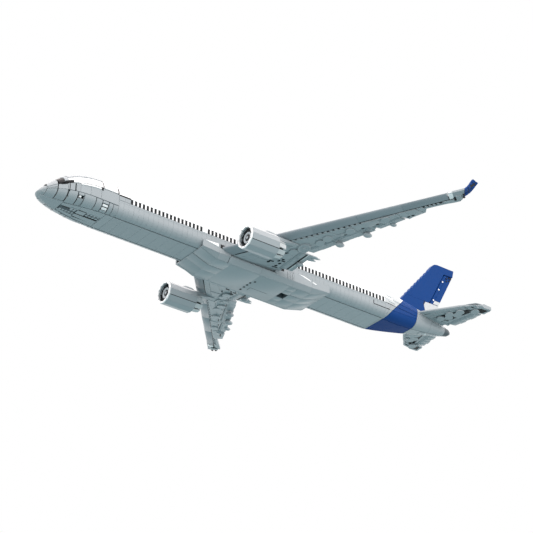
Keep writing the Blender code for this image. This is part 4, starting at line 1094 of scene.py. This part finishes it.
def wing_tips(side, hand):
    """Plates on the raked tip and the blue winglet that rises from it."""
    stock = Stock(55, hand)
    low = Vector((0, 0, -3.6))
    square = ((490, 289, 22.6), (496, 294, 23.4), (504, 288.5, 22.6), (500, 282, 21.4))
    stock.plate([Vector(point) + low for point in square], WING_DOWN, 2.6)
    stock.paint = 1
    for x, y, z in ((491.4, 283.6, 18.4), (494.5, 281.6, 18.2), (497.4, 295.4, 20.6), (501.6, 291.6, 20.0)):
        stock.block((x, y, z - 0.4), (x + 2.6, y + 2.4, z + 1.4), 0.1)
    piece("wing_tip_plates_" + side, stock, [GREY, BLACK])
    blade = Stock(56, hand)
    for r0, r1 in ((0.0, 0.22), (0.25, 0.47), (0.5, 0.73), (0.76, 1.0)):
        for s0, s1 in ((0.0, 0.54), (0.62, 1.0)):
            blade.loft([winglet_ring(rise, s0, s1, 1.5) for rise in (r0, r1)])
    blade.paint = 1
    blade.loft([winglet_ring(rise, 0.06, 0.94, 0.9) for rise in (0.0, 0.3, 0.98)])
    piece("winglet_blocks_" + side, blade, [BLUE, BLACK], nodes=["winglet_" + side])


def winglet_ring(rise, s0, s1, half):
    """A section across the winglet, between two shares of its depth."""
    bulge = along(((0, 0), (0.3, 1), (1, 0)), rise)
    front = Vector((494.6, 303.1, 25.8)) + Vector((11, 5, 17)) * rise + Vector((1.2, 1.2, 0)) * bulge
    tail = Vector((504.4, 289.4, 23.4)).lerp(Vector((516.4, 306.6, 41.4)), rise)
    tail += Vector((2.5, 2.5, 0)) * bulge
    thick = Vector((0, -0.7, blend(0.75, 0.1, rise))).normalized() * half
    return [front.lerp(tail, s0) - thick, front.lerp(tail, s1) - thick, front.lerp(tail, s1) + thick,
            front.lerp(tail, s0) + thick]


# Engines

COWL_START = NACELLE_LENGTH + 0.3


def facet(stock, x0, x1, outer, depth):
    """One long plate of the many-sided casing, at the top of the ring."""
    flat = outer * math.cos(math.pi / CASING_SIDES)
    half = math.tan(math.pi / CASING_SIDES) * flat
    top = ENGINE_HEIGHT + flat
    stock.plate([(ENGINE_LIP + x0, ENGINE_Y - half, top), (ENGINE_LIP + x1, ENGINE_Y - half, top),
                 (ENGINE_LIP + x1, ENGINE_Y + half, top), (ENGINE_LIP + x0, ENGINE_Y + half, top)],
                (0, 0, 1), depth, gap=0.12)


def ringed(stock, draw, count, material, seed, turn=0.0):
    """What draw makes at the top of the engine, repeated round its axle."""
    one = Stock(seed, stock.hand)
    draw(one)
    centre = spot((ENGINE_LIP, ENGINE_Y * stock.hand, ENGINE_HEIGHT))
    bmesh.ops.rotate(one.builder, verts=one.builder.verts, cent=centre, matrix=Matrix.Rotation(turn, 3, "X"))
    stock.take(grown(one, RING, material, Count=count, Centre=tuple(centre), Seed=seed))


def on_axle(stock, aft, profile, sides, smooth=False):
    """A round body on the engine's axle, starting at a distance behind the lip."""
    stock.turned((ENGINE_LIP + aft, ENGINE_Y, ENGINE_HEIGHT), (1, 0, 0), profile, sides, smooth)


def casing_plate(stock):
    facet(stock, 2.4, NACELLE_LENGTH, NACELLE_RADIUS, 2.4)


def lip_plate(stock):
    facet(stock, 0, 2.4, NACELLE_RADIUS - 0.3, 2.6)


def fan_blade(stock):
    """A pitched black blade."""
    loops = []
    for radius, width, twist in ((7.0, 2.6, 0.5), (10.5, 4.2, 0.35), (14.3, 5.6, 0.25)):
        across = Vector((math.sin(twist) * width, math.cos(twist) * width, 0))
        thick = Vector((math.cos(twist), -math.sin(twist), 0)) * 0.35
        centre = Vector((ENGINE_LIP + 5.4, ENGINE_Y, ENGINE_HEIGHT + radius))
        loops.append([centre - across / 2 - thick, centre + across / 2 - thick, centre + across / 2 + thick,
                      centre - across / 2 + thick])
    stock.loft(loops)


def seam_bar(stock, angle):
    """Black line where the two halves of a casing meet."""
    out = Vector((0, math.sin(angle), math.cos(angle)))
    across = Vector((0, math.cos(angle), -math.sin(angle)))
    centre = Vector((ENGINE_LIP, ENGINE_Y, ENGINE_HEIGHT)) + out * (NACELLE_RADIUS - 0.35)
    loops = []
    for x in (2.6, 48.3):
        loops.append([centre + Vector((x, 0, 0)) + across * a + out * b
                      for a, b in ((-0.45, -0.5), (0.45, -0.5), (0.45, 0.3), (-0.45, 0.3))])
    stock.loft(loops)


def cowl_brick(stock):
    loops = []
    for x, radius in ((COWL_START, 13.2), (COWL_START + 14, 12)):
        half = math.tan(math.pi / COWL_SIDES) * radius * 0.66
        top = ENGINE_HEIGHT + radius * 0.966
        loops.append([(ENGINE_LIP + x, ENGINE_Y + half * share, top - drop)
                      for share, drop in ((-1, 0), (1, 0), (0.85, 3), (-0.85, 3))])
    stock.loft(loops)


def engines(side, hand):
    """Faceted nacelle with a white lip, fan, and pale cowl bricks over a black core."""
    half_step = math.pi / CASING_SIDES
    shell = Stock(61, hand)
    ringed(shell, casing_plate, CASING_SIDES, GREY, 62, half_step)
    shell.paint = 1
    ringed(shell, lip_plate, CASING_SIDES, WHITE, 63, half_step)
    shell.paint = 2
    on_axle(shell, 12, ((0, 14.2), (6, 14.2)), 24)
    for angle in (2 * math.pi / 3, 4 * math.pi / 3):
        seam_bar(shell, angle)
    piece("nacelle_plates_" + side, shell, [GREY, WHITE, BLACK], nodes=["nacelle_" + side])
    fan = Stock(64, hand)
    ringed(fan, fan_blade, FAN_BLADES, BLACK, 65)
    fan.paint = 1
    on_axle(fan, 4.2, ((0.6, 5.4), (0, 6.6), (0, 8.2), (0.4, 8.6), (3.4, 8.6)), 20)
    fan.paint = 0
    on_axle(fan, 4.4, ((0, 2.4), (0, 4.6), (0.4, 5.2), (2, 5.2)), 16)
    fan.paint = 1
    on_axle(fan, 3.6, ((0, 1.6), (0.3, 2.2), (1.6, 2.2)), 12)
    piece("fan_blades_" + side, fan, [BLACK, GREY], "fan_" + side, ["fan_" + side])
    aft = Stock(66, hand)
    ringed(aft, cowl_brick, COWL_SIDES, PALE_GREY_AND_WHITE_IN_PAINTED_SHADE, 67)
    aft.paint = 1
    on_axle(aft, COWL_START, ((0.2, 11.4), (10, 10.6), (10.2, 5.6), (14, 4), (19, 0.4)), 16, True)
    piece("aft_cowl_plates_" + side, aft, [PALE_GREY_AND_WHITE_IN_PAINTED_SHADE, BLACK], nodes=["aft_cowl_" + side])


# Tail

def slanted(low, high):
    """A slanted edge: its station at a place t, from the belly to the crown."""
    def station(t):
        z = skin(low, t).z
        return blend(low, high, min(1, max(0, (z - BELLY) / (CROWN - BELLY))))
    return station


COLLAR_EDGE = slanted(587, 638)
BAND_EDGE = slanted(651, 663)
ROUND_STEPS = ((-1, 1, 2), (1.03, 2, 5), (2, 2.97, 2), (3.03, 4, 2), (4, 4.5, 4), (4.5, 5, 4))


def tail_rows(stock, front, rear, steps, row_count, gap=SEAM):
    """Rows of plates round the tail, between stations or slanted edges."""
    def surface(share, t):
        fore = front(t) if callable(front) else front
        aft = rear(t) if callable(rear) else rear
        return skin(blend(fore, aft, share), t)

    for t0, t1, count in steps:
        for s0, s1 in spread(0.004, 0.996, 1 / row_count):
            stock.patch(surface, (s0, s1), (t0, t1), (4, count), gap=gap)
            if t0 > 0:
                stock.patch(surface, (s0, s1), (-t1, -t0), (4, count), gap=gap)


def on_both_sides(stock, rows, steps, depth, **finish):
    """Plates on the skin, to starboard and mirrored to port: rows of stations and places round it."""
    for hand in SIDES.values():
        for x0, x1, t0, t1 in rows:
            ends = (t0, t1) if hand > 0 else (-t1, -t0)
            stock.patch(skin, (x0, x1), ends, steps, depth, **finish)


def tail_skins():
    """Collar in white and greys with black slots, the slanted blue band, and the cone behind it."""
    collar = Stock(71)
    for paint, steps in ((0, ROUND_STEPS[4:]), (2, ROUND_STEPS[:3]), (3, ROUND_STEPS[3:4])):
        collar.paint = paint
        tail_rows(collar, BARREL_END, COLLAR_EDGE, steps, 2)
    raised = ((590, 604, 3.4, 4.0), (600, 616, 4.02, 4.3), (586, 598, 4.1, 4.35))
    on_both_sides(collar, raised, (2, 2), 1.2, lift=0.7)
    collar.paint = 1
    slots = ((584, 592, 1.97, 2.06), (588, 604, 2.94, 3.03))
    on_both_sides(collar, slots, (2, 1), 1.0, bevel=0.08, gap=0, lift=0.3)
    piece("tail_collar_plates", collar, [WHITE, BLACK, GREY, PALE_GREY_AND_WHITE_IN_PAINTED_SHADE], nodes=["tail_collar"])
    band = Stock(72)
    tail_rows(band, COLLAR_EDGE, BAND_EDGE, ROUND_STEPS, 1, 0.15)
    piece("tail_band_plates", band, [BLUE], nodes=["tail_band"])
    cone = Stock(73)
    tail_rows(cone, BAND_EDGE, 725, ((-1, 1, 2), (1.03, 2.5, 6), (2.5, 4, 4), (4, 5, 5)), 2, 0.12)
    cone.patch(skin, (676, 712), (-0.8, 0.8), (4, 2), 1.2, 0.15, lift=0.6)
    cone.paint = 1
    studded(cone, [(skin(689, -0.1) - Vector((0, 0, 0.6)), (0.1, 0, -1))], PIN, WHITE)
    piece("tail_cone_plates", cone, [GREY, WHITE], nodes=["tail_cone"])


FIN_HALF = 4.0
FIN_FRONT = 634.5
FIN_SHOULDER = 110.3
FIN_FOOT = 44.2


def rudder_line(z):
    """Station of the rudder's hinge at a height."""
    return blend(703, 736, (z - 45) / 61)


def fin_front(z):
    if z < FIN_SHOULDER:
        return blend(FIN_FRONT, 706, (z - 27) / 83.3)
    return blend(706, 718.5, (z - FIN_SHOULDER) / 9.7)


def behind_hinge(corners):
    """An outline given as distances behind the rudder's hinge, with their heights."""
    return [(rudder_line(z) + aft, z) for aft, z in corners]


def fin_layers():
    """Blue fin with a stepped leading edge and a rear foot in pale grey, which is white drawn darker as
    painted shade, and the rudder's plates.
    """
    stock = Stock(81)
    crowns = [section(x)[2] + 0.3 for x in (FIN_FRONT, 660, 690, 716)]
    foot = [(FIN_FRONT, crowns[0]), (660, crowns[1]), (690, crowns[2]), (686, 38), (690, FIN_FOOT),
            (fin_front(FIN_FOOT) - 0.6, FIN_FOOT)]
    stock.slab(foot, -FIN_HALF, FIN_HALF, 0.15)
    edge = []
    for z0, z1 in spread(FIN_FOOT, 108.6, 8):
        step = blend(z0, z1, 0.82)
        edge += [(fin_front(z0) + 0.9, z0), (fin_front(step) - 1.2, step)]
    crown = [(706.6, 112.4), (709.4, 115.8), (713.2, 118.4), (718.5, 119.6), (753.4, 119.6)]
    crown += behind_hinge(((14, 107), (-4.5, 107), (-4.5, FIN_FOOT)))
    stock.slab(edge + crown, -FIN_HALF, FIN_HALF, 0.25)
    # The rear foot is white, drawn in pale grey as painted shade.
    stock.paint = 1
    rear_foot = [(690.2, crowns[2]), (714, crowns[3]), (717.5, FIN_FOOT), (690.6, FIN_FOOT), (686.6, 38)]
    stock.slab(rear_foot, -3.9, 3.9, 0.3)
    stock.paint = 2
    for face in (-1, 1):
        inner, outer = sorted((face * 3.4, face * 4.15))
        stock.slab([(685, 38), (686.4, 38), (688.4, 45), (687, 45)], inner, outer, 0.08)
        stock.slab([(697, 44), (699, 44), (700.4, 47), (698.6, 47)], inner, outer, 0.08)
    stock.block((750.6, -1.2, 117.4), (754.6, 1.2, 119.2), 0.2)
    piece("fin_bricks", stock, [BLUE, PALE_GREY_AND_WHITE_IN_PAINTED_SHADE, BLACK], nodes=["fin"])
    hinge = Stock(82)
    places = []
    for z in (52.8, 75.8, 92.6):
        for face in (-1, 1):
            places.append((Vector((rudder_line(z) + 0.6, face * 2.7, z)), (0, face, 0)))
    studded(hinge, places, PIN, WHITE)
    for face in (-1, 1):
        inner, outer = sorted((face * 1.0, face * 3.1))
        hinge.paint = 1
        hinge.slab(behind_hinge(((3.4, 53), (14.4, 53), (13.8, 105), (3.4, 105))), inner, outer, 0.2)
        # The rudder's lowest plate is white, drawn in pale grey as painted shade.
        hinge.paint = 3
        hinge.slab(behind_hinge(((3.4, 46), (14.6, 46), (14.4, 52.8), (3.4, 52.8))), inner, outer, 0.2)
        hinge.paint = 2
        inner, outer = sorted((face * 2.6, face * 3.7))
        for x, z in ((3.6, 100), (7.2, 102.2), (10.4, 97.4), (5.6, 95.2), (11, 102)):
            x0 = rudder_line(z) + x
            hinge.slab([(x0, z), (x0 + 2.6, z), (x0 + 2.9, z + 2.4), (x0 + 0.4, z + 2.4)], inner, outer, 0.1)
    piece("rudder_plates", hinge, [WHITE, BLUE, BLACK, PALE_GREY_AND_WHITE_IN_PAINTED_SHADE], "rudder")


STAB_ROOT = 16.0
ELEVATOR_END = 66      # plates on the stabiliser leave room from here
STAB_REST = 72         # and go on from here


def stab_front(y):
    return 660 + (y - STAB_ROOT) * 0.86


def stab_tail(y):
    return 734.5 + (y - STAB_ROOT) * 0.25


def stab_height(y):
    return 10.6 + (y - STAB_ROOT) * 0.07


def stab_face(y, share, side):
    front = stab_front(y) + 0.4
    rear = stab_tail(y) - along(((0, 16.75), (67.4, 16.75), (71.3, 0.4), (90, 0.4)), y)
    thick = along(((0, 1), (0.25, 3.2), (1, 2.5)), share)
    return Vector((blend(front, rear, share), y, stab_height(y) + side * thick))


def stab_under(y, share):
    return stab_face(y, share, -1)


def stab_top(y, share):
    return stab_face(y, share, 1)


def stab_heart(point):
    return Vector((point.x, point.y, stab_height(point.y)))


def stab_plate(stock, surface, y_range, s_range, depth, lift):
    stock.patch(surface, y_range, s_range, (1, 1), depth, heart=stab_heart, lift=lift)


def stabilisers(side, hand):
    """Rows of small plates and round plates over dark cells below, and a plated top."""
    stock = Stock(91, hand)
    for y0, y1 in spread(27, 84, 7):
        stab_plate(stock, stab_under, (y0 + 0.3, y1 - 0.3), (0.02, 0.15), 1.0, 0.7)
        stab_plate(stock, stab_under, (y0 + 1.6, y1 - 1.6), (0.15, 0.3), 1.6, 1.0)
    for span in spread(27, ELEVATOR_END, 7) + spread(STAB_REST, 84, 6):
        stab_plate(stock, stab_under, span, (0.86, 0.95), 1.2, 0.8)
    for span in spread(24, ELEVATOR_END, 8) + spread(STAB_REST, 84, 6):
        for s_range in ((0.02, 0.35), (0.35, 0.68), (0.68, 0.95)):
            stab_plate(stock, stab_top, span, s_range, 1.0, 0.6)
    for s_range in ((0.3, 0.42), (0.46, 0.58), (0.62, 0.74), (0.78, 0.88)):
        stab_plate(stock, stab_under, (20.4, 26.4), s_range, 1.2, 0.8)
    spots = []
    for y, share in ((27, 0.56), (37, 0.62), (50, 0.62), (44, 0.42), (58, 0.44), (72, 0.5)):
        spots.append((stab_under(y, share) - Vector((0, 0, 0.8)), (0, 0.07, -1)))
    studded(stock, spots, DISC, GREY)
    stock.paint = 1
    for y0, y1, share in ((19.6, ELEVATOR_END, 0.9), (ELEVATOR_END, STAB_REST, 0.6), (STAB_REST, 82, 0.9)):
        stock.patch(stab_under, (y0, y1), (0.14, share), (2, 2), 0.6, 0.1, 0, heart=stab_heart, lift=0.2)
    piece("stabiliser_plates_" + side, stock, [GREY, BLACK])
    moving = Stock(92, hand)
    for number, span in enumerate(spread(20.4, 65.6, 9)):
        for face in (-1, 1):
            reach = ELEVATOR_CHORD + (1.8 if number % 2 else 0)

            def surface(y, k):
                half = blend(SURFACE_NOSE, SURFACE_TAIL, max(0, k) / ELEVATOR_CHORD)
                return Vector((stab_tail(y) - ELEVATOR_CHORD + k, y, stab_height(y) + face * half))

            stab_plate(moving, surface, span, (0.6, reach), 0.9, 0.55)
    piece("elevator_plates_" + side, moving, [GREY], "elevator_" + side)


# Camera and light

def camera():
    """The camera that was fitted to the photo's window row."""
    azimuth = math.radians(-36.905)
    elevation = math.radians(-29.728)
    roll = math.radians(0.364)
    back = Vector((math.sin(azimuth) * math.cos(elevation), -math.cos(azimuth) * math.cos(elevation),
                   math.sin(elevation)))
    right = (-back).cross(Vector((0, 0, 1))).normalized()
    up = right.cross(-back)
    turned_right = right * math.cos(roll) + up * math.sin(roll)
    turned_up = up * math.cos(roll) - right * math.sin(roll)
    lens = bpy.data.cameras.new("photo_camera")
    lens.lens = 117.45
    lens.sensor_width = 36
    lens.clip_end = 50
    obj = bpy.data.objects.new("photo_camera", lens)
    place = Matrix((turned_right, turned_up, back)).transposed().to_4x4()
    place.translation = Vector((-1.3434, -1.75145, -1.2117))
    obj.matrix_world = place
    bpy.context.scene.collection.objects.link(obj)
    bpy.context.scene.camera = obj


FLOOR_RADIUS = 12
FLOOR_DROP = -4


def studio():
    """White surround for the eye, and a soft light that falls off from above to below."""
    scene = bpy.context.scene
    scene.view_settings.view_transform = "Standard"
    world = bpy.data.worlds.new("studio")
    world.use_nodes = True
    scene.world = world
    tree = world.node_tree
    tree.nodes.clear()
    start = Wire(tree)
    direction = start.add("ShaderNodeTexCoord", out="Generated")
    height = start.add("ShaderNodeSeparateXYZ", None, {0: direction}, 2)
    from_below = (0.125, 0.35, 0.395, 1)
    from_above = (2.615, 2.39, 2.345, 1)
    glow = start.mix(0.5 + 0.5 * height, from_below, from_above)
    light = start.add("ShaderNodeBackground", None, {"Color": glow, "Strength": 1.0})
    seen = start.add("ShaderNodeBackground", None, {"Color": (1, 1, 1, 1), "Strength": 1.0})
    to_eye = start.add("ShaderNodeLightPath", out="Is Camera Ray")
    both = start.add("ShaderNodeMixShader", None, {0: to_eye, 1: light, 2: seen})
    start.add("ShaderNodeOutputWorld", None, {"Surface": both})
    builder = bmesh.new()
    bmesh.ops.create_circle(builder, cap_ends=True, segments=64, radius=FLOOR_RADIUS)
    mesh = bpy.data.meshes.new("studio_floor")
    builder.to_mesh(mesh)
    builder.free()
    mesh.transform(Matrix.Translation((0, 0, FLOOR_DROP)))
    mesh.materials.append(plastic("floor_paint", (0.9, 0.9, 0.9), 0.6, 0.02))
    floor = bpy.data.objects.new("studio_floor", mesh)
    floor.visible_diffuse = False
    floor.visible_glossy = False
    scene.collection.objects.link(floor)


def dress_frame():
    """Finishes for the solids that stay in sight."""
    finishes = {"spine_beam": SLATE, "wing_carry_through": SLATE, "tail_tip": SLATE, "rudder": BLUE}
    for name in ("nose", "front", "rear", "tail"):
        finishes["bulkhead_" + name] = SLATE
    for side in SIDES:
        finishes["window_glazing_" + side] = BLACK
        finishes["fan_axle_" + side] = SLATE
        for name in ("wing_panel_", "stabiliser_", "flap_inboard_", "flap_outboard_", "aileron_", "elevator_",
                     "pylon_"):
            finishes[name + side] = GREY
    for name, material in finishes.items():
        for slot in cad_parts[name].material_slots:
            slot.material = material


camera()
studio()
dress_frame()
barrel()
nose_cone()
nose_sides()
nose_underside()
cockpit()
belly_fairing()
tail_skins()
fin_layers()
for side_name, side_hand in SIDES.items():
    leading_edges(side_name, side_hand)
    wing_plates(side_name, side_hand)
    moving_plates(side_name, side_hand, "flap_inboard_", (43.2, 84.6), FLAP_CHORD)
    moving_plates(side_name, side_hand, "flap_outboard_", (92, 173.6), FLAP_CHORD)
    moving_plates(side_name, side_hand, "aileron_", (181, 213.6), AILERON_CHORD)
    wing_tips(side_name, side_hand)
    engines(side_name, side_hand)
    stabilisers(side_name, side_hand)
